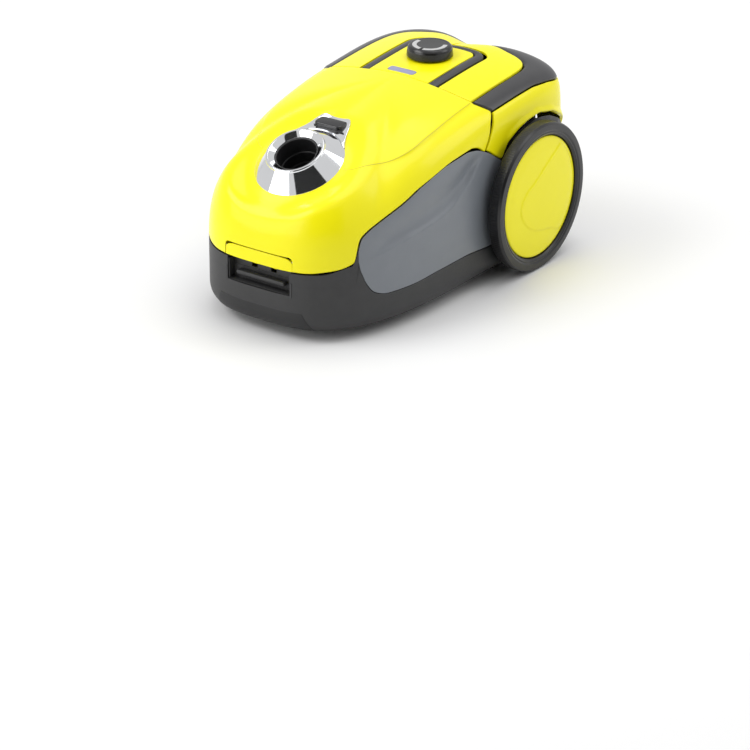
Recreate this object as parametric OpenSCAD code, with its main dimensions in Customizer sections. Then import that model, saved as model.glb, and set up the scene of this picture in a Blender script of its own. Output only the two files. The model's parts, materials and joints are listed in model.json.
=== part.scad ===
// Canister vacuum cleaner: domed two-colour body on two large rear wheels and a front caster.
// +Z is up, the nose faces -Y, the wheels sit at +Y and the part is symmetric about x = 0.

/* [Body] */
// Half of the body's width at its widest level
half_w = 119; // [117:0.5:119.5]
// Distance from the middle of the lid seam forward to the nose
nose_l = 242.5; // [238:0.5:246]
// Distance from the middle of the lid seam back to the rear face
tail_l = 160.5; // [159:0.5:164]
// Height of the widest level above the floor
waist_z = 75; // [72:0.5:78]
// Height of the flat underside above the floor
belly_z = 10; // [8:0.5:12]
// Wall thickness of the moulded shells
wall = 2.6; // [2.2:0.1:3.2]

/* [Wheels] */
// Outer radius of a rear tyre
tyre_r = 80; // [78:0.5:81]
// Position of the rear axle along the body
axle_y = 103; // [100:0.5:106]
// Inner face of a tyre, from the middle plane
tyre_x = 124.5; // [123:0.5:126]
// Width of a tyre
tyre_w = 16; // [14:0.5:18]
// Radius of the front caster's wheel
caster_r = 15; // [13:0.5:15]

/* [Inlet] */
// Tilt of the hose inlet from upright, towards the nose
inlet_tilt = 26; // [24:0.5:28]
// Bore radius of the hose socket
socket_r = 21; // [19:0.1:21.5]
// Radius of the narrower passage below the socket
throat_r = 17.5; // [16:0.1:18]

/* [Controls] */
// Radius of the power knob
knob_r = 24.5; // [22:0.5:25]
// Height of the power knob above the deck
knob_h = 12; // [9:0.5:13]

/* [Hidden] */
seam_y = 41;
front_square = 3.15;
rear_square = 7.5;
tumblehome = 0.03;
belly_round = 12;
pin_r = 1.5;
play = 0.05;
$fn = 48;

// Edges on the body skin, as [plan angle, section angle] pairs
panel_top = [[43.8, 80], [44.7, 74.2], [46, 71.5], [50, 66.6], [57, 60], [65, 53.8], [73, 51.3],
    [78, 51.4], [81, 52.5], [85, 55.8], [92, 63.5], [97, 66]];
panel_low = [[43.8, 84], [44.7, 92], [46, 108], [48.7, 126], [52.7, 133], [60, 133.7], [68.7, 130.6],
    [76.7, 129.8], [85, 134], [97, 138]];
lid_edge = [[0, 89.6], [25, 89.4], [34, 88.4], [42.7, 85], [44.5, 73.9], [46, 71], [50, 66.2],
    [57, 59.6], [65, 53.4], [73, 50.7], [78, 50.8], [81, 51.7], [85, 54.5]];
tub_edge = [[0, 90.8], [25, 90.6], [34, 89.7], [40, 87.4], [45, 85.6], [50, 68], [57, 61.4],
    [65, 55.2], [73, 52.7], [81, 53.9], [85, 57.2], [92, 64.8], [96, 58.8], [103, 56.3], [118, 54.8],
    [126, 57], [134.7, 63.5], [142, 75.5], [147, 90.8], [149.5, 145], [180, 145]];
housing_edge = [[85, 55], [92.5, 62.6], [96, 57.2], [103, 54.9], [110, 53.8], [118.5, 53.4],
    [126, 55.5], [134.7, 62], [142, 74], [146.5, 89.4], [149.5, 59.6], [180, 59.6]];
band_inner = [[90, 37.9], [124, 37.6], [135, 37.8], [145, 37.6], [162, 39.6], [180, 41.2]];
band_outer = [[90, 44.1], [120, 44.2], [127, 45.1], [134, 47], [142, 49], [180, 50]];
seam_side = [[44.1, 90], [47.2, 88], [51, 86.7], [55.1, 84.7]];

// Places of the moving axes
hinge_y = 35;
hinge_z = 197.6;
hinge_r = 2.9;
handle_y = 47.5;
handle_z = 199.2;
pedal_y = 50;
pedal_z = 187;
latch_y = -196;
latch_z = 85;
cover_y = 198.5;
cover_z = 41;
knob_y = 98;
knob_z = 208.4;
inlet_at = [0, -135.4, 174];
button_at = [0, -76.5, 188];
button_tilt = 5.2;
frame_z = 175;
motor_at = [-48, 60, 88];
reel_at = [14, 114, 100];
caster_y = -150;
caster_trail = 8;
collar_s = -54.8;

yellow = "#f5e82a";
dark = "#3b3c3e";
grey = "#7b7f84";
steel = "#b9bcc0";
black = "#1b1b1d";

// ---- The body skin -------------------------------------------------------------------------
function ease(t) = let (c = min(1, max(0, t))) c * c * (3 - 2 * c);
function mix(a, b, t) = a + (b - a) * t;
function plan_angle(phi) = let (p = (phi + 540) % 360 - 180) abs(p);

// Exponent of the section's superellipse in each plan direction: soft at the nose, square aft
function section_power(phi) = let (a = plan_angle(phi))
    2.1 + 0.7 * ease(a / 48) + 10.2 * ease((a - 48) / 42) + 0.5 * ease((a - 90) / 45)
    - 8.2 * ease((a - 135) / 45);

// Height of the spine that the crown is hung from, and how strongly the top arches sideways
function spine_z(y) = let (n = y / 100) 201.8 + 6.1 * n + 4.5 * n * n - 3.3 * n * n * n;
function arch(y) = (2.7 - 1.3 * ease((y + 140) / 180)) / 1000;

// The lid seam runs straight across and bends back at the outer ends
function seam_bend(x, y) = let (f = max(0, 1 - pow((y - seam_y) / 110, 2)))
    14 * pow(min(abs(x), 106) / 106, 8) * f * f;

// Point of the skin: w runs 0 (crown) to 90 (waist) to 180 (belly), phi turns from the nose
function skin(w, phi, o = 0) =
    let (front = cos(phi) > 0, l = (front ? nose_l : tail_l) - o,
        n = front ? front_square : rear_square, sx = sin(phi), sy = -cos(phi),
        g = pow(pow(abs(sx), n) + pow(abs(sy), n), 1 / n), a = min(w, 90),
        m = section_power(phi), s = sin(a), c = max(cos(a), 0),
        k = pow(pow(s, m) + pow(c, m), 1 / m), t = s / k, h = c / k,
        v = max(w - 90, 0) / 90, u = min(1, max(0, (v - 0.72) / 0.28)),
        inset = belly_round * (1 - sqrt(1 - u * u)),
        x = t * (half_w - o) * sx / g * (1 - inset / half_w),
        y = seam_y + t * l * sy / g * (1 - inset / 200),
        z = waist_z + (spine_z(y) - o - arch(y) * x * x - waist_z) * h - (waist_z - belly_z - o) * v,
        xs = x * (1 - tumblehome * h))
    [xs, y + seam_bend(xs, y), z];

// Plan position of a skin point before the seam's bend is applied
function skin_plan(w, phi) = let (p = skin(w, phi), b = seam_bend(p[0], p[1]))
    [p[0], p[1] - seam_bend(p[0], p[1] - b)];

// Height of the skin's top above an unbent plan position
function top_z(x, y0) =
    let (front = y0 < seam_y, l = front ? nose_l : tail_l,
        n = front ? front_square : rear_square, x0 = abs(x) / (1 - tumblehome),
        dx = x0 / half_w, dy = (y0 - seam_y) / l,
        t = max(0.001, pow(pow(dx, n) + pow(abs(dy), n), 1 / n)),
        m = section_power(atan2(dx, -dy)), h = pow(max(0, 1 - pow(t, m)), 1 / m))
    waist_z + (spine_z(y0) - arch(y0) * x0 * x0 - waist_z) * h;

// The lid is drawn down to a flat seat around the inlet
ring_r = 47.4;
seat_r = ring_r;
seat_s = -13.7;
function seated(p, o) = let (n = [0, -sin(inlet_tilt), cos(inlet_tilt)], d = p - inlet_at, s = d * n,
    r = norm(d - s * n), b = 1 - ease((r - seat_r) / 35))
    p + n * (seat_s - o - 0.45 * (r - seat_r) - s) * b;

function seam_angle(w) = lookup(w, seam_side);

// ---- Solids from grids of points -----------------------------------------------------------
function flat(rows) = [for (row = rows) for (p = row) p];

// Closed solid between two equal grids of points
module sheet(outer, inner) {
    n = len(outer);
    m = len(outer[0]);
    off = n * m;
    c0 = floor((n - 1) / 2);
    c1 = floor((m - 1) / 2);
    turn = cross(outer[c0 + 1][c1] - outer[c0][c1], outer[c0][c1 + 1] - outer[c0][c1])
        * (outer[c0][c1] - inner[c0][c1]) > 0;
    faces = [
        for (i = [0 : n - 2]) for (j = [0 : m - 2]) let (a = i * m + j, b = a + m)
            each [[a, a + 1, b + 1], [a, b + 1, b], [off + a, off + b + 1, off + a + 1],
                [off + a, off + b, off + b + 1]],
        for (i = [0 : n - 2]) let (a = i * m, b = a + m, c = a + m - 1, d = b + m - 1)
            each [[a, b, off + b], [a, off + b, off + a], [c, off + d, d], [c, off + c, off + d]],
        for (j = [0 : m - 2]) let (a = j, b = j + 1, c = (n - 1) * m + j, d = c + 1)
            each [[a, off + b, b], [a, off + a, off + b], [c, d, off + d], [c, off + d, off + c]]];
    polyhedron(concat(flat(outer), flat(inner)),
        turn ? faces : [for (f = faces) [f[0], f[2], f[1]]], convexity = 8);
}

// Shell piece whose rows run around the body and whose columns run down it
module skin_piece(rows, o_out, o_in) {
    sheet([for (r = rows) [for (p = r) skin(p[0], p[1], o_out)]],
        [for (r = rows) [for (p = r) skin(p[0], p[1], o_in)]]);
}

// Closed pan: rings of points from its rim down to a flat floor
module pan(outer, inner) {
    n = len(outer);
    m = len(outer[0]);
    off = n * m;
    side = [for (i = [0 : n - 2]) for (j = [0 : m - 1])
        let (a = i * m + j, b = a + m, c = i * m + (j + 1) % m, d = c + m)
        each [[a, c, d], [a, d, b], [off + a, off + d, off + c], [off + a, off + b, off + d]]];
    rim = [for (j = [0 : m - 1]) let (k = (j + 1) % m) each [[j, off + k, k], [j, off + j, off + k]]];
    floors = [[for (j = [0 : m - 1]) (n - 1) * m + j],
        [for (j = [m - 1 : -1 : 0]) off + (n - 1) * m + j]];
    polyhedron(concat(flat(outer), flat(inner)), concat(side, rim, floors), convexity = 10);
}

// Plan outline of one half of a U: along the side, round the corner, across to the middle
function u_path(x, y0, y1, r, x_end) = concat(
    [for (i = [0 : 4]) [x, mix(y0, y1 - r, i / 4)]],
    [for (i = [1 : 4]) [x - r + r * cos(i * 22.5), y1 - r + r * sin(i * 22.5)]],
    [for (i = [1 : 3]) [mix(x - r, x_end, i / 3), y1]]);

function top_point(p, up) = [p[0], p[1] + seam_bend(p[0], p[1]), top_z(p[0], p[1]) + up];

// Strip of the top skin between two plan outlines, from height above to depth below
module top_strip(a, b, above, below, cols = 3) {
    grid = [for (i = [0 : len(a) - 1]) [for (j = [0 : cols]) mix(a[i], b[i], j / cols)]];
    sheet([for (r = grid) [for (p = r) top_point(p, above)]],
        [for (r = grid) [for (p = r) top_point(p, -below)]]);
}

module both_sides() {
    children();
    mirror([1, 0, 0]) children();
}

module bar_x(x0, x1, y, z, r) {
    translate([x0, y, z]) rotate([0, 90, 0]) cylinder(h = x1 - x0, r = r);
}

module bar_y(y0, y1, x, z, r) {
    translate([x, y0, z]) rotate([-90, 0, 0]) cylinder(h = y1 - y0, r = r);
}

module block(lo, hi) {
    translate(lo) cube(hi - lo);
}

module inlet_frame() {
    translate(inlet_at) rotate([inlet_tilt, 0, 0]) children();
}

module round_plate(w, l, h, r) {
    linear_extrude(h) union() {
        square([w - 2 * r, l], center = true);
        square([w, l - 2 * r], center = true);
        for (x = [-1, 1], y = [-1, 1]) translate([x * (w / 2 - r), y * (l / 2 - r)]) circle(r);
    }
}

// ---- Lower body ----------------------------------------------------------------------------
tub_low = [[43, 108], [45, 115.5], [50, 132.2], [55, 134.8], [60, 135.2], [65, 133.4], [70, 132],
    [75, 131.6], [80, 133], [85, 135.4], [97, 139.4], [100, 139.4], [100.1, 108]];
function tub_step(a) = a > 43 && a < 100.1 ? lookup(a, tub_low) : 108;
function tub_recess(a) = a > 43.9 && a < 98 ? 6.4 : 0;
function tub_ring(k, o) = [for (j = [0 : 71]) let (phi = j * 5, a = plan_angle(phi),
    top = lookup(a, tub_edge), step = max(tub_step(a), top + 3), back = tub_recess(a),
    ws = [top, mix(top, step, 0.5), step - 1.5, step, mix(step, 165, 0.5), 165, 172, 180],
    os = k < 3 ? back : 0) skin(ws[k], phi, os + o)];

screw_spots = [[78, -120], [88, 20], [60, 172], [-78, -120], [-88, 20], [-60, 172]];

module base_tub() color(dark) {
    boss_x = 101;
    pocket_r = 30;
    pocket_top = 34;
    difference() {
        union() {
            pan([for (k = [0 : 7]) tub_ring(k, 0)], [for (k = [0 : 7]) tub_ring(k, wall)]);
            both_sides() bar_x(boss_x, half_w - 1.5, axle_y, tyre_r, 12);
            translate([0, caster_y, belly_z + 0.5]) cylinder(h = pocket_top - belly_z + 2, r = pocket_r + 2);
            translate([0, caster_y, pocket_top]) cylinder(h = 16, r = 9);
            block([-112.5, 50, belly_z + 1], [112.5, 54, 120]);
            block([-106, 50, 119], [106, 54, frame_z - 0.3]);
            block([-24, -179.5, belly_z + 1], [24, -176.5, 74]);
            block([-20, -182, 71.5], [20, -179, 74]);
            block([-41, -199.5, 48], [41, -188, 64]);
            both_sides() block([39, -197, 60], [41, -188, 70]);
            block([-92, 66, belly_z + 1], [-4, 74, 56]);
            block([-92, 150, belly_z + 1], [-4, 158, 56]);
            block([10, 104, belly_z + 1], [14, 124, 112]);
            block([84, 104, belly_z + 1], [88, 124, 112]);
            both_sides() block([57, 192, 36], [61, 199.5, 43]);
            for (s = screw_spots) translate([s[0], s[1], belly_z + 1]) cylinder(h = 13, r = 6);
        }
        both_sides() bar_x(boss_x - 1, half_w + 5, axle_y, tyre_r, 6 + play);
        translate([0, caster_y, belly_z - 1]) cylinder(h = pocket_top - belly_z + 1, r = pocket_r);
        translate([0, caster_y, pocket_top - 2]) cylinder(h = 14, r = 5 + play);
        block([-39, -205, 50], [39, -190, 80]);
        bar_y(60, 80, motor_at[0], motor_at[2], 56.1);
        bar_y(146, 162, motor_at[0], motor_at[2], 56.1);
        bar_x(8, 90, reel_at[1], reel_at[2], 5 + play);
        bar_x(50, 65, cover_y, cover_z, pin_r + play);
        block([-95, 48, 46], [-1, 56, 134]);
        both_sides() bar_x(37.6, 56.4, cover_y, cover_z, 3);
        bar_y(185, 205, 92, 52, 7 + play);
        for (s = screw_spots) translate([s[0], s[1], belly_z - 1]) {
            cylinder(h = 4, r = 4.2);
            cylinder(h = 30, r = 2 + play);
        }
    }
}

panel_angles = [43.9, 44.7, 46, 48.5, 52, 56, 60, 64, 68, 73, 78, 82, 86, 90, 94.8];

module side_panel() {
    skin_piece([for (a = panel_angles) [for (k = [0 : 6])
        [mix(lookup(a, panel_top) + 0.2, lookup(a, panel_low) - 0.2, k / 6), a]]], 0, 2.8);
}

module side_panel_right() color(grey) side_panel();
module side_panel_left() color(grey) mirror([1, 0, 0]) side_panel();

// ---- Rear upper body -----------------------------------------------------------------------
rear_angles = [90, 94, 98, 103, 110, 118, 124, 129, 134.7, 139, 143, 146.5, 150, 158, 169, 180];
function round_back(list) = concat(list, [for (i = [len(list) - 2 : -1 : 0]) 360 - list[i]]);
function housing_row(a) = let (b = plan_angle(a), lo = lookup(b, band_outer) + 0.5,
    hi = lookup(b, housing_edge)) [for (k = [0 : 5]) [mix(lo, hi, k / 5), a]];
function housing_front(side) = [for (k = [0 : 5]) let (w = mix(44.6, 54.6, k / 5))
    [w, side > 0 ? seam_angle(w) + 0.5 : 359.5 - seam_angle(w)]];

module rear_housing() color(yellow) {
    rows = concat([housing_front(1)], [for (a = round_back([for (b = rear_angles) if (b > 92) b]))
        housing_row(a)], [housing_front(-1)]);
    skin_piece(rows, 0, wall);
    both_sides() block([97, 66, 171.5], [110.5, 150, frame_z - 0.2]);
    block([-60, 188, 171.5], [60, 194.5, frame_z - 0.2]);
}

module outer_band() color(dark) {
    angles = round_back([90.6, 95, 100, 106, 112, 118, 124, 129, 134, 139, 145, 153, 162, 171, 180]);
    skin_piece([for (a = angles) let (b = plan_angle(a), lo = lookup(b, band_inner) + 0.4,
        hi = lookup(b, band_outer)) [for (k = [0 : 3]) [mix(lo, hi, k / 3), a]]], 0, wall);
}

// Plate under the controls that the deck, pedals, handle and lid hinge are mounted on
module top_frame() color(dark) {
    difference() {
        union() {
            block([-100, 58, frame_z], [100, 158, frame_z + 3]);
            block([-70, 150, frame_z], [70, 188.4, frame_z + 3]);
            block([-40, 31, frame_z], [40, 60, frame_z + 3]);
            both_sides() {
                block([22, 32.4, frame_z + 1], [29, 37.6, hinge_z]);
                bar_x(22, 29, hinge_y, hinge_z, hinge_r);
                block([34, 45, frame_z + 1], [36.4, 50, handle_z]);
                bar_x(34, 36.4, handle_y, handle_z, 2.4);
                block([49, 45.5, frame_z + 1], [52, 60, pedal_z + 2.5]);
                block([83, 45.5, frame_z + 1], [86, 60, pedal_z + 2.5]);
                block([52, 56, frame_z], [86, 60, frame_z + 3]);
                translate([30, 118, frame_z + 1]) cylinder(h = 28.5, r = 3.5);
                translate([30, 60, frame_z + 1]) cylinder(h = 24.5, r = 3.5);
            }
            block([-7, 32.4, frame_z + 1], [7, 37.6, hinge_z]);
            bar_x(-7, 7, hinge_y, hinge_z, hinge_r);
        }
        bar_x(-45, 45, hinge_y, hinge_z, pin_r + 0.02);
        both_sides() {
            bar_x(33, 37, handle_y, handle_z, pin_r + 0.02);
            bar_x(48, 88, pedal_y, pedal_z, pin_r + 0.02);
        }
        for (x = [-40, 40], y = [80, 100, 120]) translate([x, y, frame_z - 1]) cylinder(h = 6, r = 5);
    }
}

deck_rows = [41.4, 47, 54, 61, 68, 76, 84, 92, 100, 108, 116, 121.6, 124.5, 127, 129.6];
function deck_half(y) = y > 121.6 ? 29 + sqrt(max(0, 64 - pow(y - 121.6, 2))) : 37;

module control_deck() color(yellow) {
    cols = 10;
    difference() {
        union() {
            sheet([for (y = deck_rows) [for (j = [0 : cols]) let (x = mix(-1, 1, j / cols) * deck_half(y))
                    [x, y, top_z(x, y)]]],
                [for (y = deck_rows) [for (j = [0 : cols]) let (x = mix(-1, 1, j / cols) * deck_half(y),
                    yb = y < 42 ? 43.5 : y) [x, yb, top_z(x, y) - wall]]]);
        }
        translate([0, knob_y, 195]) cylinder(h = 20, r = 6);
        translate([0, knob_y, knob_z + 0.3]) cylinder(h = 5, r = knob_r + 0.6);
        block([-19, 45.5, 195], [15, 56, 215]);
        both_sides() block([33.6, 44.2, 190], [38, 50.8, 201.9]);
    }
}

module indicator_window() color("#b9bddb", 0.6) {
    top_strip([for (x = [-18.6, -14, -8, -2, 4, 10, 14.6]) [x, 45.9]],
        [for (x = [-18.6, -14, -8, -2, 4, 10, 14.6]) [x, 55.6]], 0, 2, 2);
}

module indicator_flag() color("#c8322a") {
    block([-17, 47, 199.6], [-7, 54, 201.2]);
}

module speed_knob() color(black) {
    translate([0, knob_y, knob_z + 0.6]) {
        rotate_extrude() polygon([[0, 0], [knob_r - 1, 0], [knob_r, 1.5], [knob_r - 1.4, knob_h - 3.4],
            [knob_r - 4, knob_h - 0.9], [knob_r - 6, knob_h - 0.6], [knob_r - 7, knob_h], [0, knob_h]]);
        translate([0, 0, -14]) cylinder(h = 15, r = 3);
    }
}

module knob_potentiometer() color("#4f6a4b") {
    translate([0, knob_y, 187.8]) difference() {
        cylinder(h = 10, r = 8.5);
        translate([0, 0, 4]) cylinder(h = 7, r = 3 + play);
    }
}

module control_board() color("#2f6b3f") {
    difference() {
        block([-26, 70, 186], [26, 128, 187.6]);
        both_sides() translate([30, 118, 180]) cylinder(h = 20, r = 5);
    }
    for (y = [76, 120]) block([-20, y, 187.6], [-8, y + 6, 192]);
    both_sides() block([18, 108, frame_z + 3.1], [22, 126, 186]);
}

module carry_handle() color(dark) {
    outer = u_path(47.3, 42.2, 137.5, 14, 0);
    inner = u_path(37.8, 42.2, 131, 8, 0);
    difference() {
        both_sides() top_strip(inner, outer, 0, 8.5, 2);
        both_sides() bar_x(36, 50, handle_y, handle_z, pin_r + play);
        both_sides() block([30, 38, 180], [60, 43.3, 200.4]);
    }
}

module handle_pins() color(steel) {
    both_sides() bar_x(34.2, 46.6, handle_y, handle_z, pin_r);
}

module foot_pedal() {
    inner = u_path(50.2, 41.8, 141.3, 15, 0.7);
    outer = concat([for (i = [0 : 4]) skin_plan(37.2, mix(91, 126, i / 4))],
        [for (i = [1 : 4]) skin_plan(37.1, mix(126, 150, i / 4))],
        [for (i = [1 : 3]) let (a = mix(150, 179.3, i / 3), p = skin_plan(lookup(a, band_inner) - 0.8, a))
            [i == 3 ? 0.7 : p[0], p[1]]]);
    difference() {
        union() {
            top_strip(inner, outer, 0, wall, 4);
            bar_x(56, 80, pedal_y, pedal_z, 3.2);
            block([62, 48.4, pedal_z], [74, 51.6, 195.6]);
        }
        bar_x(50, 90, pedal_y, pedal_z, pin_r + play);
    }
}

module pedal_power() color(yellow) foot_pedal();
module pedal_rewind() color(yellow) mirror([1, 0, 0]) foot_pedal();

module pedal_pins() color(steel) {
    both_sides() bar_x(49.6, 85.8, pedal_y, pedal_z, pin_r);
}

module pedal_spring(x) {
    translate([x, 132, frame_z + 3]) difference() {
        cylinder(h = top_z(x, 132) - wall - frame_z - 4.4, r = 6);
        translate([0, 0, -1]) cylinder(h = 30, r = 4.6);
    }
}

module pedal_spring_power() color(steel) pedal_spring(66);
module pedal_spring_rewind() color(steel) pedal_spring(-66);

module power_switch() color(black) {
    block([56, 90, frame_z + 3], [78, 108, frame_z + 13]);
    translate([67, 99, frame_z + 13]) cylinder(h = 2, r = 4);
}

// ---- Lid -----------------------------------------------------------------------------------
// Square grid laid over the lid: its outer rows follow the lid's edge, the inner ones even out
function lid_param(p, q) = let (big = max(abs(p), q, 0.0001), side = p < 0 ? -1 : 1,
    a0 = q >= abs(p) ? 45 * p / max(q, 0.0001) : side * (90 - 45 * q / abs(p)),
    inner = 54 + 34 * ease(1 - abs(a0) / 90),
    w = big * mix(inner, lookup(abs(a0) * 85 / 90, lid_edge), pow(big, 4))) [w, a0 * seam_angle(w) / 90];
function lid_point(p, q, o) = let (g = lid_param(p, q)) seated(skin(g[0], g[1], o), o);

module lid_shell() color(yellow) {
    cols = 32;
    rows = 16;
    ear = [[42.4, latch_y - 0.6, 80], [46.5, latch_y + 5, 88]];
    difference() {
        union() {
            translate([0, -0.4, 0]) sheet(
                [for (i = [0 : rows]) [for (j = [0 : cols]) lid_point(mix(-1, 1, j / cols), i / rows, 0)]],
                [for (i = [0 : rows]) [for (j = [0 : cols]) lid_point(mix(-1, 1, j / cols), i / rows, wall)]]);
            both_sides() {
                bar_x(8, 21, hinge_y, hinge_z, hinge_r);
                block([8, hinge_y - 2.8, hinge_z], [21, hinge_y + 1, 202.4]);
                block(ear[0], ear[1]);
            }
        }
        bar_x(-40, 40, hinge_y, hinge_z, pin_r + play);
        bar_x(-50, 50, latch_y, latch_z, pin_r + 0.02);
        block([-42.2, -215, 70], [42.2, -190, 91]);
        inlet_frame() translate([0, 0, -30]) linear_extrude(60)
            polygon([for (i = [0 : 59]) [cos(6 * i), sin(6 * i)] * (ring_r + 0.5)]);
        translate(button_at) rotate([button_tilt, 0, 0]) translate([-17.2, -8.5, -12]) cube([34.4, 17, 24]);
        tab_plate(0.85, 6, 0.5);
    }
}

module lid_hinge_pins() color(steel) {
    bar_x(-29.5, 29.5, hinge_y, hinge_z, pin_r);
}

// Half-width of the chrome tab that runs back from the inlet to the release button
tab_rows = [-104, -98, -92, -86, -80, -75, -71, -68, -66, -65];
tab_half = [[-104, 35], [-98, 31], [-86, 25], [-75, 21], [-68, 17.5], [-66, 15.5], [-65, 12]];
function on_lid(x, y, up) = seated([x, y, top_z(x, y)], 0) + [0, 0, up];

module tab_plate(lo, hi, grow) {
    cols = 8;
    grid = [for (y = tab_rows) [for (j = [0 : cols])
        [mix(-1, 1, j / cols) * (lookup(y, tab_half) + grow), y > -66 ? y + grow : y]]];
    sheet([for (r = grid) [for (p = r) on_lid(p[0], p[1], hi)]],
        [for (r = grid) [for (p = r) on_lid(p[0], p[1], lo)]]);
}

module inlet_tab() {
    difference() {
        tab_plate(1.1, 2.1, 0);
        inlet_frame() translate([0, 0, -30]) cylinder(h = 60, r = ring_r - 2.4, $fn = 72);
        translate(button_at) rotate([button_tilt, 0, 0]) translate([0, 0, -12])
            round_plate(34.4, 17, 24, 5.6);
    }
}

module inlet_ring() color("#d7d9dc") {
    inlet_tab();
    inlet_frame() rotate_extrude($fn = 72) polygon([[22.8, -9], [22.8, -0.6], [27.6, 3.2], [28.4, 3.8],
        [29.8, 3.8], [30.7, 3.1], [ring_r, -13.5], [ring_r, -26], [ring_r - 2.6, -26],
        [ring_r - 2.6, -14.6], [28.6, 1], [25.4, -2.2], [25.4, -9]]);
}

module inlet_liner() color(black) {
    difference() {
        inlet_frame() rotate_extrude($fn = 72) polygon([[socket_r, -1.8], [22.5, -1.8], [22.5, -9.4],
            [ring_r - 2.8, -15.8], [ring_r - 2.8, -18.8], [24.5, -18.8], [22.5, -24], [22.5, -50], [throat_r, -50],
            [throat_r, -31], [socket_r, -30]]);
    }
}

module inlet_gasket() color(black) {
    inlet_frame() translate([0, 0, -52.4]) difference() {
        cylinder(h = 2.3, r = 25);
        translate([0, 0, -1]) cylinder(h = 5, r = throat_r + 0.3);
    }
}

module release_button() color(black) {
    difference() {
        translate(button_at) rotate([button_tilt, 0, 0]) {
            translate([0, 0, -6]) round_plate(32.8, 15.8, 9, 5);
            translate([0, 1.5, -10]) cylinder(h = 5, r = 4);
        }
        inlet_frame() translate([0, 0, -40]) cylinder(h = 28, r = ring_r + 2);
    }
}

module lid_latch() color(yellow) {
    difference() {
        union() {
            skin_piece([for (j = [0 : 8]) [for (k = [0 : 2]) [mix(84.7, 89.5, k / 2), mix(-19.5, 19.5, j / 8)]]],
                0, 3);
            bar_x(-39, 39, latch_y, latch_z, 2.4);
            both_sides() {
                block([9, latch_y, latch_z - 1.2], [15, -184, latch_z + 1.2]);
                block([9, -187, 68], [15, -184, latch_z]);
                block([9, -185, 68], [15, -180.8, 70.8]);
            }
        }
        bar_x(-50, 50, latch_y, latch_z, pin_r + play);
    }
}

module latch_pin() color(steel) {
    bar_x(-45.5, 45.5, latch_y, latch_z, pin_r);
}

// ---- Dust bag ------------------------------------------------------------------------------
module bag_holder() color(grey) {
    inlet_frame() translate([0, 0, collar_s - 4.3]) difference() {
        union() {
            translate([0, 0, 0]) round_plate(118, 104, 4, 8);
            both_sides() block([50, -10, 0], [93.2, 10, 4]);
        }
        translate([0, 0, -1]) cylinder(h = 6, r = 31);
    }
    both_sides() block([90, -114, belly_z + wall + 1.3], [93.2, -104, 121.5]);
}

module bag_collar() color("#c9a877") {
    inlet_frame() translate([0, 0, collar_s]) difference() {
        union() {
            round_plate(105, 92, 2.2, 6);
            translate([0, 48, 0]) round_plate(34, 14, 2.2, 5);
        }
        translate([0, 0, -1]) cylinder(h = 5, r = 22);
    }
}

bag_mid = [0, -58, 80];
bag_size = [88, 92, 42];
function puff(v, e) = (v < 0 ? -1 : 1) * pow(abs(v), e);
function bag_point(lat, lon) = [for (i = [0 : 2])
    bag_mid[i] + bag_size[i] * [puff(cos(lat), 0.8) * puff(cos(lon), 0.85),
        puff(cos(lat), 0.8) * puff(sin(lon), 0.85), puff(sin(lat), 0.9)][i]];

module dust_bag() color("#ececea") {
    pan([for (i = [0 : 9]) [for (j = [0 : 23]) bag_point(mix(83, -83, i / 9), j * 15)]],
        [for (i = [0 : 9]) [for (j = [0 : 23]) bag_mid + (bag_point(mix(83, -80, i / 9), j * 15) - bag_mid) * 0.97]]);
    inlet_frame() translate([0, 0, collar_s - 16]) difference() {
        cylinder(h = 15.8, r = 29);
        translate([0, 0, -1]) cylinder(h = 18, r = 26);
    }
}

module motor_filter() color("#4a4d52") block([-93, 44.6, 48], [-3, 49.4, 132]);

module filter_grid() color(black) {
    difference() {
        block([-97, 39.5, 44], [1, 44.4, 136]);
        for (i = [0 : 5], j = [0 : 5]) translate([-92.5 + i * 15.2, 38, 48.5 + j * 14])
            cube([12.5, 8, 11.5]);
    }
}

// ---- Motor ---------------------------------------------------------------------------------
module at_motor(y0) {
    translate([motor_at[0], motor_at[1] + y0, motor_at[2]]) rotate([-90, 0, 0]) children();
}

module ring(h, r_out, r_in) {
    difference() {
        cylinder(h = h, r = r_out);
        translate([0, 0, -1]) cylinder(h = h + 2, r = r_in);
    }
}

module motor_housing() color(grey) {
    at_motor(4) ring(102, 50, 47.5);
    at_motor(24) difference() {
        ring(6, 48, 9);
        for (a = [0 : 60 : 300]) rotate(a) translate([28, 0, -1]) cylinder(h = 8, r = 7);
    }
    at_motor(90) difference() {
        ring(6, 48, 9);
        for (a = [0 : 60 : 300]) rotate(a) translate([28, 0, -1]) cylinder(h = 8, r = 7);
    }
}

module fan_cover() color(steel) {
    at_motor(1) ring(2.8, 50, 17);
}

module fan_impeller() color(steel) {
    at_motor(8) {
        ring(1.6, 44, 16);
        translate([0, 0, 9]) ring(1.6, 44, 4 + play);
        for (a = [0 : 40 : 320]) rotate(a) translate([16, -0.8, 1]) cube([27, 1.6, 9]);
        translate([0, 0, 1]) ring(13, 8, 4 + play);
    }
}

module motor_stator() color("#8d5a35") {
    at_motor(34) difference() {
        ring(48, 40, 24);
        for (a = [0, 180]) rotate(a) translate([-12, 30, -1]) cube([24, 20, 50]);
    }
    both_sides_motor() translate([39.5, -3, 40]) cube([7.8, 6, 30]);
}

module both_sides_motor() {
    at_motor(0) {
        children();
        rotate(180) children();
    }
}

module armature() color("#a0643a") {
    at_motor(36) ring(44, 23.2, 4 + play);
    at_motor(79) ring(9, 11, 4 + play);
}

module motor_shaft() color(steel) {
    at_motor(6) cylinder(h = 94, r = 4);
}

module motor_bearings() color(steel) {
    for (y = [24, 90]) at_motor(y) ring(6, 9, 4 + play);
}

module motor_mounts() color(black) {
    for (y = [6, 90]) at_motor(y) ring(8, 56, 50);
}

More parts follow.
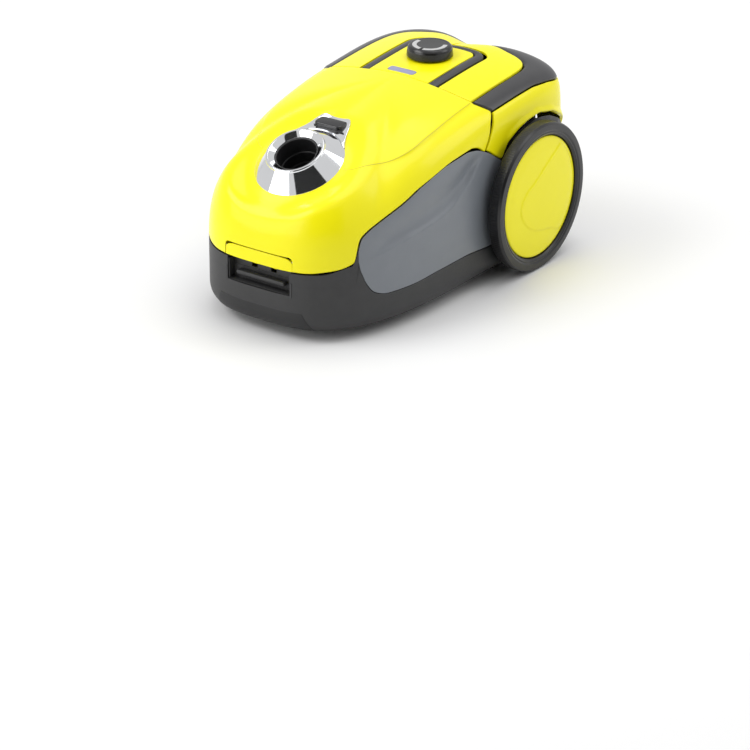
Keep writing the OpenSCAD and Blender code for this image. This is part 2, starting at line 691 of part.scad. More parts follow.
module carbon_brushes() color(black) {
    both_sides_motor() translate([11.3, -2.5, 82.5]) cube([14, 5, 5]);
}

// ---- Cord reel -----------------------------------------------------------------------------
module at_reel(x0) {
    translate([x0, reel_at[1], reel_at[2]]) rotate([0, 90, 0]) children();
}

module reel_drum() color(dark) {
    at_reel(20) ring(2.5, 58, 5 + play);
    at_reel(58) ring(2.5, 58, 5 + play);
    at_reel(21) ring(38, 24, 5 + play);
}

module reel_axle() color(steel) at_reel(9) cylinder(h = 80, r = 5);

module rewind_spring_case() color(grey) {
    at_reel(62) ring(20, 38, 5 + play);
}

module cord_gland() color(black) {
    difference() {
        union() {
            bar_y(188, 200.8, 92, 52, 7);
            bar_y(200.2, 201.4, 92, 52, 10);
        }
        bar_y(180, 205, 92, 52, 4.5);
    }
}

// ---- Exhaust -------------------------------------------------------------------------------
module exhaust_cover() color(dark) {
    difference() {
        union() {
            skin_piece([for (a = [150.4, 154, 160, 167, 174, 180, 186, 193, 200, 206, 209.6])
                [for (k = [0 : 8]) [mix(60.6, 139.4, k / 8), a]]], 0, wall);
            both_sides() bar_x(38, 56, cover_y, cover_z, 2.6);
            both_sides() block([38, cover_y - 1, cover_z - 1.6], [56, cover_y + 1.8, cover_z + 2.6]);
        }
        both_sides() {
            bar_x(30, 57, cover_y, cover_z, pin_r + play);
            block([56.6, 191, 36], [62, 203, 43.4]);
        }
        for (i = [0 : 7]) block([-48, 190, 60 + i * 10], [48, 210, 64 + i * 10]);
    }
}

module exhaust_filter_frame() color(black) {
    difference() {
        block([-62, 180, 52], [62, 192, 142]);
        block([-58, 179, 56], [58, 193, 138]);
    }
    block([-12, 180, 142], [12, 184, 148]);
}

module exhaust_filter() color("#e9e9ea") block([-57.9, 181, 56.1], [57.9, 191, 137.9]);

// ---- Wheels --------------------------------------------------------------------------------
module at_wheel(x0) {
    translate([x0, axle_y, tyre_r]) rotate([0, 90, 0]) children();
}

module tyre() {
    at_wheel(tyre_x) rotate_extrude($fn = 96) polygon([[68.6, 0], [77.5, 0], [tyre_r, 2.5],
        [tyre_r, tyre_w - 1.4], [tyre_r - 1.2, tyre_w], [71, tyre_w], [66.2, tyre_w - 2],
        [66.2, tyre_w - 5], [68.6, tyre_w - 5]]);
}

module rim() {
    difference() {
        at_wheel(0) union() {
            translate([0, 0, 121]) cylinder(h = 14, r = 14);
            translate([0, 0, 129]) cylinder(h = 2.6, r = 67);
            translate([0, 0, tyre_x]) ring(11, 68.6, 65.8);
        }
        bar_x(110, 145, axle_y, tyre_r, 6 + play);
    }
}

module cap() {
    at_wheel(0) {
        translate([0, 0, 135.6]) rotate_extrude($fn = 96) polygon([[0, 0], [65.4, 0], [65.4, 1.6],
            [64.4, 2.6], [40, 3.6], [0, 4]]);
    }
}

module tyre_right() color(black) tyre();
module tyre_left() color(black) mirror([1, 0, 0]) tyre();
module rim_right() color(dark) rim();
module rim_left() color(dark) mirror([1, 0, 0]) rim();
module cap_right() color(yellow) cap();
module cap_left() color(yellow) mirror([1, 0, 0]) cap();

module wheel_axles() color(steel) {
    both_sides() {
        bar_x(100, 134.6, axle_y, tyre_r, 6);
        bar_x(98.3, 100.9, axle_y, tyre_r, 8.5);
    }
}

// ---- Caster --------------------------------------------------------------------------------
module caster_fork() color(black) {
    difference() {
        union() {
            translate([0, caster_y, 31]) cylinder(h = 2.4, r = 17);
            translate([0, caster_y, 33]) cylinder(h = 12, r = 5);
            both_sides() block([9.4, caster_y, 11], [12.4, caster_y + caster_trail + 5, 32]);
        }
        bar_x(-15, 15, caster_y + caster_trail, caster_r, 2 + 0.02);
    }
}

module caster_wheel() color(grey) {
    difference() {
        bar_x(-8.8, 8.8, caster_y + caster_trail, caster_r, caster_r);
        bar_x(-10, 10, caster_y + caster_trail, caster_r, 2 + play);
    }
}

module caster_axle() color(steel) bar_x(-12.2, 12.2, caster_y + caster_trail, caster_r, 2);

module screws() color(steel) {
    for (s = screw_spots) translate([s[0], s[1], 0]) difference() {
        union() {
            translate([0, 0, belly_z + 0.5]) cylinder(h = 2.4, r = 4);
            translate([0, 0, belly_z + 2]) cylinder(h = 18, r = 2);
        }
        translate([0, 0, belly_z]) cylinder(h = 2, r = 2, $fn = 6);
    }
}

base_tub();
side_panel_left();
side_panel_right();
rear_housing();
outer_band();
top_frame();
control_deck();
indicator_window();
indicator_flag();
speed_knob();
knob_potentiometer();
control_board();
carry_handle();
handle_pins();
pedal_power();
pedal_rewind();
pedal_pins();
pedal_spring_power();
pedal_spring_rewind();
power_switch();
lid_shell();
lid_hinge_pins();
inlet_ring();
inlet_liner();
inlet_gasket();
release_button();
lid_latch();
latch_pin();
bag_holder();
bag_collar();
dust_bag();
motor_filter();
filter_grid();
motor_housing();
fan_cover();
fan_impeller();
motor_stator();
armature();
motor_shaft();
motor_bearings();
motor_mounts();
carbon_brushes();
reel_drum();
reel_axle();
rewind_spring_case();
cord_gland();
exhaust_cover();
exhaust_filter_frame();
exhaust_filter();
tyre_left();
tyre_right();
rim_left();
rim_right();
cap_left();
cap_right();
wheel_axles();
caster_fork();
caster_wheel();
caster_axle();
screws();
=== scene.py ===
import json
import math

import bmesh
import bpy
import numpy as np
from mathutils import Matrix, Vector, noise


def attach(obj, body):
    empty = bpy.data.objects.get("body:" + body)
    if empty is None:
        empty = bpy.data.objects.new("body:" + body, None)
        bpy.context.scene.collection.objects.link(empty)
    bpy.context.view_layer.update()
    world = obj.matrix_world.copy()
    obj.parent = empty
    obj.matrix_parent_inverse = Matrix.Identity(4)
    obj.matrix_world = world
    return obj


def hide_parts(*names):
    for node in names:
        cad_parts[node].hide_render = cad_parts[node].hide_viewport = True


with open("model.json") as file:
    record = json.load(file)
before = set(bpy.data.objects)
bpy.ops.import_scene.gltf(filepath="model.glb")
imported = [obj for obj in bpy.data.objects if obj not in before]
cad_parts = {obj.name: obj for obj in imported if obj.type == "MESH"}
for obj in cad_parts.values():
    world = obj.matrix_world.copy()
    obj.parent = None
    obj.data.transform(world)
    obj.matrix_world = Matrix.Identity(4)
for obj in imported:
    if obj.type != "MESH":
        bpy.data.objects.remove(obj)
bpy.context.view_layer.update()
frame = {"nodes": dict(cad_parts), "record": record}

# ---- Sizes and positions in millimetres, as in the CAD --------------------------------------------
MM = 0.001
SEAM_Y = 41.0
HALF_W, NOSE_L, TAIL_L = 119.0, 242.5, 160.5
WAIST_Z, BELLY_Z = 75.0, 10.0
WALL = 2.6
SEAM_GAP = 0.4
TILT = math.radians(26)
INLET = np.array([0.0, -135.4, 174.0])
INLET_N = np.array([0.0, -math.sin(TILT), math.cos(TILT)])
SEAT_R, SEAT_S, SEAT_SLOPE, SEAT_BLEND = 47.4, -13.7, -0.45, 35
BUTTON = np.array([0.0, -76.5, 188.0])
BUTTON_TILT = math.radians(5.2)
BORE_R = 1.55
LID_HINGE, PEDAL_HINGE = (0, 35, 197.6), (0, 50, 187)
LATCH_HINGE, COVER_HINGE = (0, -196, 85), (0, 198.5, 41)
KNOB = Vector((0, 98, 209))
AX_Y, AX_Z = 103.0, 80.0
CASTER_Y = -150


def table(*pairs):
    """Rows of a curve's points."""
    return np.array(pairs, float)


# Edges on the body's skin as (angle round from the nose, angle down from the crown)
PANEL_TOP = table((43.8, 80), (44.7, 74.2), (46, 71.5), (50, 66.6), (57, 60), (65, 53.8), (73, 51.3),
                  (78, 51.4), (81, 52.5), (85, 55.8), (92, 63.5), (97, 66))
PANEL_LOW = table((43.8, 84), (44.7, 92), (46, 108), (48.7, 126), (52.7, 133), (60, 133.7),
                  (68.7, 130.6), (76.7, 129.8), (85, 134), (97, 138))
LID_EDGE = table((0, 89.6), (25, 89.4), (34, 88.4), (42.7, 85), (44.5, 73.9), (46, 71), (50, 66.2),
                 (57, 59.6), (65, 53.5), (73, 51.0), (78, 51.1), (81, 52.2), (85, 55.4))
TUB_EDGE = table((0, 90.8), (25, 90.6), (34, 89.7), (42.5, 86.4), (44.5, 76), (50, 68), (57, 61.4),
                 (65, 55.2), (73, 52.7), (81, 53.9), (85, 57.2), (92, 64.8), (96, 58.8), (103, 56.3),
                 (118, 54.8), (126, 57), (134.7, 63.5), (142, 75.5), (147, 90.8), (149.5, 145),
                 (180, 145))
HOUSING_EDGE = table((85, 55), (92.5, 62.6), (96, 57.2), (103, 54.9), (110, 53.8), (118.5, 53.4),
                     (126, 55.5), (134.7, 62), (142, 74), (146.5, 89.4), (149.5, 59.6), (180, 59.6))
BAND_IN = table((90, 37.9), (124, 37.6), (135, 37.8), (145, 37.6), (162, 39.6), (180, 41.2))
BAND_OUT = table((90, 44.1), (120, 44.2), (127, 45.1), (134, 47), (142, 49), (180, 50))
SEAM_SIDE = table((44.1, 90), (47.2, 88), (51, 86.7), (55.1, 84.7))


# ---- The body skin, the same surface as the CAD's ------------------------------------------------
def line(x, t):
    """Straight lines through a table's points."""
    return np.interp(x, t[:, 0], t[:, 1])


def curve(x, t):
    """Smooth monotone curve through a table's points."""
    xs, ys = t[:, 0], t[:, 1]
    h = np.diff(xs)
    d = np.diff(ys) / h
    m = np.zeros_like(xs)
    m[0], m[-1] = d[0], d[-1]
    for i in range(1, len(xs) - 1):
        if d[i - 1] * d[i] > 0:
            w1, w2 = 2 * h[i] + h[i - 1], h[i] + 2 * h[i - 1]
            m[i] = (w1 + w2) / (w1 / d[i - 1] + w2 / d[i])
    x = np.clip(np.asarray(x, float), xs[0], xs[-1])
    i = np.clip(np.searchsorted(xs, x, side="right") - 1, 0, len(h) - 1)
    s = (x - xs[i]) / h[i]
    return (ys[i] * (1 + 2 * s) * (1 - s) ** 2 + h[i] * m[i] * s * (1 - s) ** 2
            + ys[i + 1] * s * s * (3 - 2 * s) + h[i] * m[i + 1] * s * s * (s - 1))


def ease(t):
    """Smooth step from 0 to 1."""
    t = np.clip(t, 0, 1)
    return t * t * (3 - 2 * t)


def plan_angle(phi):
    """Angle from the nose, 0 to 180, whichever the side."""
    return np.abs((np.asarray(phi, float) + 180) % 360 - 180)


def power(phi):
    """Squareness of the upright section at an angle round the body."""
    a = plan_angle(phi)
    return (2.1 + 0.7 * ease(a / 48) + 10.2 * ease((a - 48) / 42) + 0.5 * ease((a - 90) / 45)
            - 8.2 * ease((a - 135) / 45))


def spine(y):
    """Height of the crown along the body."""
    n = y / 100
    return 201.8 + 6.1 * n + 4.5 * n ** 2 - 3.3 * n ** 3


def arch(y):
    """Crosswise curvature of the top."""
    return (2.7 - 1.3 * ease((y + 140) / 180)) / 1000


def bend(x, y):
    """How far the seam between lid and deck curves back towards the sides."""
    f = np.maximum(0, 1 - ((y - SEAM_Y) / 110) ** 2)
    return 14 * (np.minimum(np.abs(x), 106) / 106) ** 8 * f * f


def skin(w, phi, o=0.0):
    """Points of the body: w 0 crown, 90 waist, 180 belly; phi 0 nose, 90 +X side, 180 tail."""
    w, phi = np.asarray(w, float), np.asarray(phi, float)
    sx, sy = np.sin(np.radians(phi)), -np.cos(np.radians(phi))
    front = sy < 0
    l = np.where(front, NOSE_L, TAIL_L) - o
    n = np.where(front, 3.15, 7.5)
    g = (np.abs(sx) ** n + np.abs(sy) ** n) ** (1 / n)
    m = power(phi)
    a = np.radians(np.minimum(w, 90))
    s, c = np.sin(a), np.maximum(np.cos(a), 0)
    k = (s ** m + c ** m) ** (1 / m)
    t, h = s / k, c / k
    v = np.maximum(w - 90, 0) / 90
    u = np.clip((v - 0.72) / 0.28, 0, 1)
    inset = 12 * (1 - np.sqrt(1 - u * u))
    x = t * (HALF_W - o) * sx / g * (1 - inset / HALF_W)
    y = SEAM_Y + t * l * sy / g * (1 - inset / 200)
    z = WAIST_Z + (spine(y) - o - arch(y) * x * x - WAIST_Z) * h - (WAIST_Z - BELLY_Z - o) * v
    x = x * (1 - 0.03 * h)
    return np.stack([x, y + bend(x, y), z], -1)


def skin_plan(w, phi):
    """Unbent plan position of a point of the skin."""
    p = skin(w, phi)
    x, y = p[..., 0], p[..., 1]
    return np.stack([x, y - bend(x, y - bend(x, y))], -1)


def top(x, y, up=0.0):
    """Point of the top skin over an unbent plan position."""
    x, y = np.asarray(x, float), np.asarray(y, float)
    front = y < SEAM_Y
    l = np.where(front, NOSE_L, TAIL_L)
    n = np.where(front, 3.15, 7.5)
    x0 = np.abs(x) / 0.97
    dx, dy = x0 / HALF_W, (y - SEAM_Y) / l
    t = np.maximum(1e-3, (dx ** n + np.abs(dy) ** n) ** (1 / n))
    m = power(np.degrees(np.arctan2(dx, -dy)))
    h = np.maximum(0, 1 - np.minimum(t, 1) ** m) ** (1 / m)
    z = WAIST_Z + (spine(y) - arch(y) * x0 * x0 - WAIST_Z) * h
    return np.stack([x, y + bend(x, y), z + up], -1)


def seated(p, o=0.0):
    """Draws the lid's skin down to a conical seat around the inlet."""
    d = p - INLET
    s = d @ INLET_N
    r = np.linalg.norm(d - s[..., None] * INLET_N, axis=-1)
    b = 1 - ease((r - SEAT_R) / SEAT_BLEND)
    return p + ((SEAT_S - o + SEAT_SLOPE * (r - SEAT_R) - s) * b)[..., None] * INLET_N


# ---- Mesh helpers -------------------------------------------------------------------------------
def put(name, verts, faces, angle=32):
    """Makes an object from points in millimetres, welded and smooth except at real edges."""
    me = bpy.data.meshes.new(name)
    me.from_pydata([tuple(float(c) * MM for c in v) for v in verts], [], faces)
    bm = bmesh.new()
    bm.from_mesh(me)
    bmesh.ops.remove_doubles(bm, verts=bm.verts, dist=2e-6)
    bmesh.ops.dissolve_degenerate(bm, edges=bm.edges, dist=1e-6)
    bmesh.ops.recalc_face_normals(bm, faces=bm.faces)
    bm.to_mesh(me)
    bm.free()
    ob = bpy.data.objects.new(name, me)
    bpy.context.scene.collection.objects.link(ob)
    smooth(ob, angle)
    return ob


def smooth(ob, angle=32):
    """Smooth shading, with edges sharper than the angle kept crisp."""
    bm = bmesh.new()
    bm.from_mesh(ob.data)
    lim = math.radians(angle)
    for f in bm.faces:
        f.smooth = True
    for e in bm.edges:
        e.smooth = not (e.is_manifold and e.calc_face_angle(0) > lim)
    bm.to_mesh(ob.data)
    bm.free()
    ob.data.update()


def ring_faces(rows, cols):
    """Quads between rows of points that close into rings."""
    return [[i * cols + j, i * cols + (j + 1) % cols, (i + 1) * cols + (j + 1) % cols, (i + 1) * cols + j]
            for i in range(rows - 1) for j in range(cols)]


def track(n, length, r, thick, steps=3):
    """(parameter, offset) pairs across a shell with rounded rims."""
    d = r / length
    arc = [(d * (1 - math.cos(a)), r * (1 - math.sin(a))) for a in np.linspace(0, math.pi / 2, steps + 1)]
    mid = [(x, 0.0) for x in np.linspace(d, 1 - d, n)[1:-1]]
    back = [(1 - u, o) for u, o in reversed(arc)]
    return [(0.0, thick)] + arc + mid + back + [(1.0, thick)]


def shell(name, point, nu, nv, size, r=0.7, thick=WALL, angle=32):
    """Closed shell over point(u, v, o), with rounded rims; size is its length along u and v."""
    U, V = track(nu, size[0], r, thick), track(nv, size[1], r, thick)
    u = np.array([a for a, _ in U])[:, None] + np.zeros(len(V))
    v = np.array([a for a, _ in V])[None, :] + np.zeros((len(U), 1))
    o = np.maximum(np.array([b for _, b in U])[:, None], np.array([b for _, b in V])[None, :])
    a = point(u, v, o)
    b = point(u, v, np.full_like(o, thick))
    n, m = a.shape[:2]
    verts = np.concatenate([a.reshape(-1, 3), b.reshape(-1, 3)])
    faces = []
    for i in range(n - 1):
        for j in range(m - 1):
            q = [i * m + j, i * m + j + 1, (i + 1) * m + j + 1, (i + 1) * m + j]
            faces.append(q)
            faces.append([n * m + x for x in reversed(q)])
    return put(name, verts, faces, angle)


def rounded(points, r, steps=4):
    """Profile with its corners rounded; r is one radius or one per point."""
    out = []
    n = len(points)
    rs = r if isinstance(r, (list, tuple)) else [r] * n
    for i in range(n):
        p = np.array(points[i], float)
        a, b = np.array(points[i - 1], float), np.array(points[(i + 1) % n], float)
        da, db = a - p, b - p
        la, lb = np.linalg.norm(da), np.linalg.norm(db)
        da, db = da / la, db / lb
        cosang = float(np.clip(da @ db, -1, 1))
        half = math.acos(cosang) / 2
        if rs[i] <= 0 or half > math.radians(88):
            out.append(tuple(p))
            continue
        cut = min(rs[i] / math.tan(half), la * 0.45, lb * 0.45)
        p0, p1 = p + da * cut, p + db * cut
        for k in range(steps + 1):
            t = k / steps
            out.append(tuple((1 - t) ** 2 * p0 + 2 * t * (1 - t) * p + t * t * p1))
    return out


def lathe(name, profile, at=(0, 0, 0), rot=None, seg=128, r=0.4, angle=32):
    """Solid of revolution of a closed (radius, height) profile about the local z axis."""
    prof = rounded(profile, r)
    rot = np.eye(3) if rot is None else rot
    n = len(prof)
    verts, faces = [], []
    for i in range(seg):
        a = 2 * math.pi * i / seg
        for x, z in prof:
            verts.append(rot @ np.array([x * math.cos(a), x * math.sin(a), z]) + np.array(at, float))
    for i in range(seg):
        k = (i + 1) % seg
        for j in range(n):
            l = (j + 1) % n
            if prof[j][0] < 1e-6 and prof[l][0] < 1e-6:
                continue
            faces.append([i * n + j, k * n + j, k * n + l, i * n + l])
    return put(name, verts, faces, angle)


def turn(axis, angle):
    """Rotation matrix about one axis."""
    return np.array(Matrix.Rotation(angle, 3, axis))


INLET_ROT = turn("X", TILT)
BUTTON_ROT = turn("X", BUTTON_TILT)
AXLE_ROT = turn("Y", math.pi / 2)
UPRIGHT = turn("X", math.pi / 2)


def barrel(x0, x1, r, at, rim=0.2):
    """Hinge barrel along X with the bore of every pin."""
    return lathe("barrel", [(BORE_R, x0), (r, x0), (r, x1), (BORE_R, x1)], at, AXLE_ROT, 32, rim)


def inlet_cyl(r, s0, s1, seg=128):
    """Cylinder about the inlet's axis, for cutting."""
    return lathe("cylinder", [(0, s0), (r, s0), (r, s1), (0, s1)], INLET, INLET_ROT, seg, r=0)


def slab(name, outline, z0, z1, at=(0, 0, 0), rot=None, bevel=0.5, seg=3, angle=32):
    """Extruded outline with rounded edges."""
    rot = np.eye(3) if rot is None else rot
    n = len(outline)
    verts = [rot @ np.array([x, y, z]) + np.array(at, float) for z in (z0, z1) for x, y in outline]
    faces = [list(range(n))[::-1], list(range(n, 2 * n))]
    faces += [[i, (i + 1) % n, n + (i + 1) % n, n + i] for i in range(n)]
    ob = put(name, verts, faces, angle)
    if bevel:
        m = ob.modifiers.new("edge", "BEVEL")
        m.width, m.segments, m.limit_method, m.angle_limit = bevel * MM, seg, "ANGLE", math.radians(50)
        settle(ob)
        smooth(ob, angle)
    return ob


def rect(x0, x1, y0, y1, r=0.0, steps=6):
    """Rectangle, with round corners if r is given."""
    pts = [(x0, y0), (x1, y0), (x1, y1), (x0, y1)]
    return rounded(pts, r, steps) if r else pts


def block(name, lo, hi, bevel=0.4):
    """Box between two corners."""
    return slab(name, rect(lo[0], hi[0], lo[1], hi[1]), lo[2], hi[2], bevel=bevel)


def settle(ob):
    """Applies an object's modifiers to its mesh."""
    bpy.context.view_layer.update()
    dg = bpy.context.evaluated_depsgraph_get()
    me = bpy.data.meshes.new_from_object(ob.evaluated_get(dg))
    ob.modifiers.clear()
    ob.data = me
    return ob


def carve(ob, *cutters, angle=32):
    """Cuts the other objects out of this one."""
    for c in cutters:
        m = ob.modifiers.new("cut", "BOOLEAN")
        m.operation, m.solver, m.object = "DIFFERENCE", "EXACT", c
    settle(ob)
    for c in cutters:
        bpy.data.objects.remove(c)
    smooth(ob, angle)
    return ob


def merge(name, *obs):
    """Joins several objects into one."""
    bm = bmesh.new()
    for o in obs:
        bm.from_mesh(o.data)
    me = bpy.data.meshes.new(name)
    bm.to_mesh(me)
    bm.free()
    for o in obs:
        bpy.data.objects.remove(o)
    ob = bpy.data.objects.new(name, me)
    bpy.context.scene.collection.objects.link(ob)
    return ob


def mirrored(ob, name):
    """Copy on the other side of the body."""
    me = ob.data.copy()
    me.transform(Matrix.Scale(-1, 4, (1, 0, 0)))
    me.flip_normals()
    o = bpy.data.objects.new(name, me)
    bpy.context.scene.collection.objects.link(o)
    return o


# ---- Materials ----------------------------------------------------------------------------------
def material(name, dark, light, rough, spread=600.0, grain=0.0, grain_size=2500.0, metallic=0.0,
             coat=0.0, coat_rough=0.05, rough_var=0.06, wave=None, alpha=1.0, sheen=0.0, cells=None,
             specular=0.5):
    """Procedural finish: colour drifts between dark and light, roughness varies, grain is bump."""
    mat = bpy.data.materials.new(name)
    mat.use_nodes = True
    nt = mat.node_tree
    b = nt.nodes["Principled BSDF"]
    b.inputs["Metallic"].default_value = metallic
    b.inputs["IOR"].default_value = 1.5
    b.inputs["Specular IOR Level"].default_value = specular
    b.inputs["Coat Weight"].default_value = coat
    b.inputs["Coat Roughness"].default_value = coat_rough
    b.inputs["Alpha"].default_value = alpha
    b.inputs["Sheen Weight"].default_value = sheen
    co = nt.nodes.new("ShaderNodeTexCoord")

    def tex(scale, detail, roughness=0.55):
        """Noise over the object's own coordinates."""
        t = nt.nodes.new("ShaderNodeTexNoise")
        t.inputs["Scale"].default_value = scale
        t.inputs["Detail"].default_value = detail
        t.inputs["Roughness"].default_value = roughness
        nt.links.new(co.outputs["Object"], t.inputs["Vector"])
        return t.outputs["Fac"]

    mix = nt.nodes.new("ShaderNodeMix")
    mix.data_type = "RGBA"
    mix.inputs[6].default_value = dark
    mix.inputs[7].default_value = light
    nt.links.new(tex(spread, 4.0), mix.inputs[0])
    nt.links.new(mix.outputs[2], b.inputs["Base Color"])
    mr = nt.nodes.new("ShaderNodeMapRange")
    mr.inputs["To Min"].default_value = max(0.02, rough - rough_var)
    mr.inputs["To Max"].default_value = rough + rough_var
    nt.links.new(tex(spread * 0.2, 5.0), mr.inputs["Value"])
    nt.links.new(mr.outputs["Result"], b.inputs["Roughness"])
    height = None
    if wave:
        wv = nt.nodes.new("ShaderNodeTexWave")
        wv.bands_direction = wave[0]
        wv.inputs["Scale"].default_value = wave[1]
        wv.inputs["Distortion"].default_value = wave[2]
        wv.inputs["Detail"].default_value = 2.0
        nt.links.new(co.outputs["Object"], wv.inputs["Vector"])
        height = wv.outputs["Fac"]
    if cells:
        vo = nt.nodes.new("ShaderNodeTexVoronoi")
        vo.inputs["Scale"].default_value = cells
        nt.links.new(co.outputs["Object"], vo.inputs["Vector"])
        height = vo.outputs["Distance"]
    if grain:
        if height is None:
            height = tex(grain_size, 2.0, 0.6)
        bp = nt.nodes.new("ShaderNodeBump")
        bp.inputs["Strength"].default_value = grain
        bp.inputs["Distance"].default_value = 0.0002
        nt.links.new(height, bp.inputs["Height"])
        nt.links.new(bp.outputs["Normal"], b.inputs["Normal"])
    return mat


M = {
    "yellow_shell": material("gloss_yellow", (0.92, 0.84, 0.004, 1), (0.95, 0.87, 0.006, 1), 0.26, 40,
                             0.02, 260, coat=0.12, coat_rough=0.06, rough_var=0.04, specular=0.25),
    # Darker yellow for the style lines: painted shade of the crease in the same yellow plastic
    "yellow_crease_shade": material("yellow_crease_shade", (0.70, 0.62, 0.008, 1), (0.75, 0.67, 0.01, 1),
                            0.35, 40, 0.02, 260),
    "dark_base": material("textured_base", (0.022, 0.022, 0.023, 1), (0.033, 0.033, 0.034, 1), 0.5, 90,
                          0.45, 1600, rough_var=0.05),
    "grey_panel": material("satin_grey", (0.175, 0.190, 0.212, 1), (0.195, 0.212, 0.234, 1), 0.36, 60,
                           0.14, 1900, rough_var=0.05),
    "dark_trim": material("satin_dark", (0.035, 0.035, 0.038, 1), (0.048, 0.048, 0.051, 1), 0.3, 70,
                          0.10, 1700, rough_var=0.05),
    "black_plastic": material("gloss_black", (0.010, 0.010, 0.011, 1), (0.016, 0.016, 0.018, 1), 0.22,
                              60, 0.05, 1500),
    "black_matte": material("matte_black", (0.008, 0.008, 0.009, 1), (0.015, 0.015, 0.016, 1), 0.5, 80,
                            0.25, 1800),
    "chrome_trim": material("chrome", (0.80, 0.81, 0.83, 1), (0.86, 0.87, 0.89, 1), 0.05, 50, 0.01, 600,
                            metallic=1.0, rough_var=0.03),
    "steel": material("turned_steel", (0.42, 0.43, 0.44, 1), (0.56, 0.57, 0.58, 1), 0.3, 500, 0.2, 2500,
                      metallic=1.0, wave=("X", 900, 3)),
    "window": material("tinted_window", (0.33, 0.34, 0.55, 1), (0.40, 0.41, 0.62, 1), 0.12, 60, 0.02,
                       800, coat=0.5, alpha=0.75),
    "flag_red": material("flag_red", (0.5, 0.03, 0.02, 1), (0.58, 0.04, 0.03, 1), 0.4, 90, 0.1, 1500),
    "tyre_rubber": material("tyre_rubber", (0.007, 0.007, 0.008, 1), (0.013, 0.013, 0.014, 1), 0.3, 120,
                            0.12, 1500, rough_var=0.07),
    "seal_rubber": material("seal_rubber", (0.015, 0.015, 0.016, 1), (0.024, 0.024, 0.024, 1), 0.6, 120,
                            0.3, 1500),
    "board_green": material("board_green", (0.02, 0.12, 0.04, 1), (0.03, 0.16, 0.06, 1), 0.35, 300, 0.1,
                            900),
    "bag_fleece": material("bag_fleece", (0.72, 0.72, 0.70, 1), (0.84, 0.84, 0.82, 1), 0.85, 900, 0.8,
                           1400, sheen=0.3),
    "card": material("brown_card", (0.42, 0.30, 0.15, 1), (0.55, 0.41, 0.23, 1), 0.75, 500, 0.4, 1500),
    "filter_foam": material("filter_foam", (0.03, 0.033, 0.036, 1), (0.10, 0.11, 0.12, 1), 0.9, 1200,
                            0.9, 1500, cells=900),
    "filter_paper": material("filter_paper", (0.62, 0.62, 0.64, 1), (0.8, 0.8, 0.82, 1), 0.8, 400, 0.9,
                             1200, wave=("X", 95, 0.2)),
    "copper": material("copper_winding", (0.42, 0.18, 0.07, 1), (0.62, 0.30, 0.14, 1), 0.35, 700, 0.7,
                       1500, metallic=0.8, wave=("Y", 420, 1.5)),
    "spring_steel": material("spring_steel", (0.35, 0.35, 0.36, 1), (0.5, 0.5, 0.52, 1), 0.28, 300, 0.7,
                             1500, metallic=1.0, wave=("Z", 260, 0.0)),
    "carbon": material("carbon_block", (0.015, 0.015, 0.015, 1), (0.04, 0.04, 0.04, 1), 0.6, 800, 0.4,
                       2000),
    "grey_inner": material("grey_moulding", (0.13, 0.135, 0.14, 1), (0.17, 0.175, 0.18, 1), 0.5, 80, 0.25,
                           1500),
    "potentiometer": material("potentiometer", (0.03, 0.07, 0.03, 1), (0.05, 0.1, 0.05, 1), 0.4, 200,
                              0.2, 1500),
    "mark_grey": material("mark_grey", (0.45, 0.45, 0.45, 1), (0.55, 0.55, 0.55, 1), 0.4, 200, 0.1, 1500),
}


def dress(ob, slot, body=None, *nodes):
    """Gives a piece its material and body, and hides the CAD nodes it stands for."""
    ob.data.materials.clear()
    ob.data.materials.append(M[slot])
    if body:
        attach(ob, body)
    if nodes:
        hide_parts(*nodes)
    return ob


# Every CAD node gets its slot's finish; those that no piece replaces stay in view
for sub in frame["record"]["subparts"]:
    cad = frame["nodes"][sub["node"]]
    cad.data.materials.clear()
    cad.data.materials.append(M[sub["material_slot"]])

# ---- Lid ----------------------------------------------------------------------------------------
STYLE = table((0, 43), (36, 43), (44.3, 42.7), (52.3, 42.3), (60.3, 41), (67.7, 39.2), (79.3, 37.9),
              (90, 37.5))
TAB_HALF = table((-106, 36), (-98, 31), (-86, 25), (-75, 21), (-68, 17.5), (-66, 15.5), (-65, 12))


def lid_point(u, v, o):
    """Lid over the front of the body, with a shallow fold below the style line."""
    p, q = 2 * u - 1, v
    big = np.maximum(np.maximum(np.abs(p), q), 1e-4)
    side = np.where(p < 0, -1.0, 1.0)
    a0 = np.where(q >= np.abs(p), 45 * p / np.maximum(q, 1e-4),
                  side * (90 - 45 * q / np.maximum(np.abs(p), 1e-4)))
    edge = curve(np.abs(a0) * 85 / 90, LID_EDGE)
    inner = 54 + 34 * ease(1 - np.abs(a0) / 90)
    w = big * (inner + (edge - inner) * big ** 4)
    phi = a0 * line(w, SEAM_SIDE) / 90
    a = np.abs(phi)
    below = w - curve(a, STYLE)
    fold = 1.1 * ease(below / 1.6) * (1 - ease((below - 1.6) / 20)) * ease((a - 40) / 25)
    pts = seated(skin(w, phi, o + fold), o)
    pts[..., 1] -= SEAM_GAP
    return pts


def latch_opening():
    """Cutter for the latch flap's opening in the nose."""
    half = [(42.1, 60), (42.1, 87.2), (40.9, 89.9), (38.2, 91.2)]
    return slab("opening", half + [(-x, z) for x, z in half[::-1]], 190, 215, (0, 0, 0), UPRIGHT, 0)


def button_opening(half_x, half_y, r):
    """Cutter for the release button's opening."""
    return slab("opening", rect(-half_x, half_x, -half_y, half_y, r), -12, 14, BUTTON, BUTTON_ROT, 0)


lid = shell("lid", lid_point, 180, 110, (240, 250), 0.7)
carve(lid, inlet_cyl(46.6, -40, 40), button_opening(17.2, 8.8, 5), latch_opening())
dress(lid, "yellow_shell", "lid", "lid_shell")


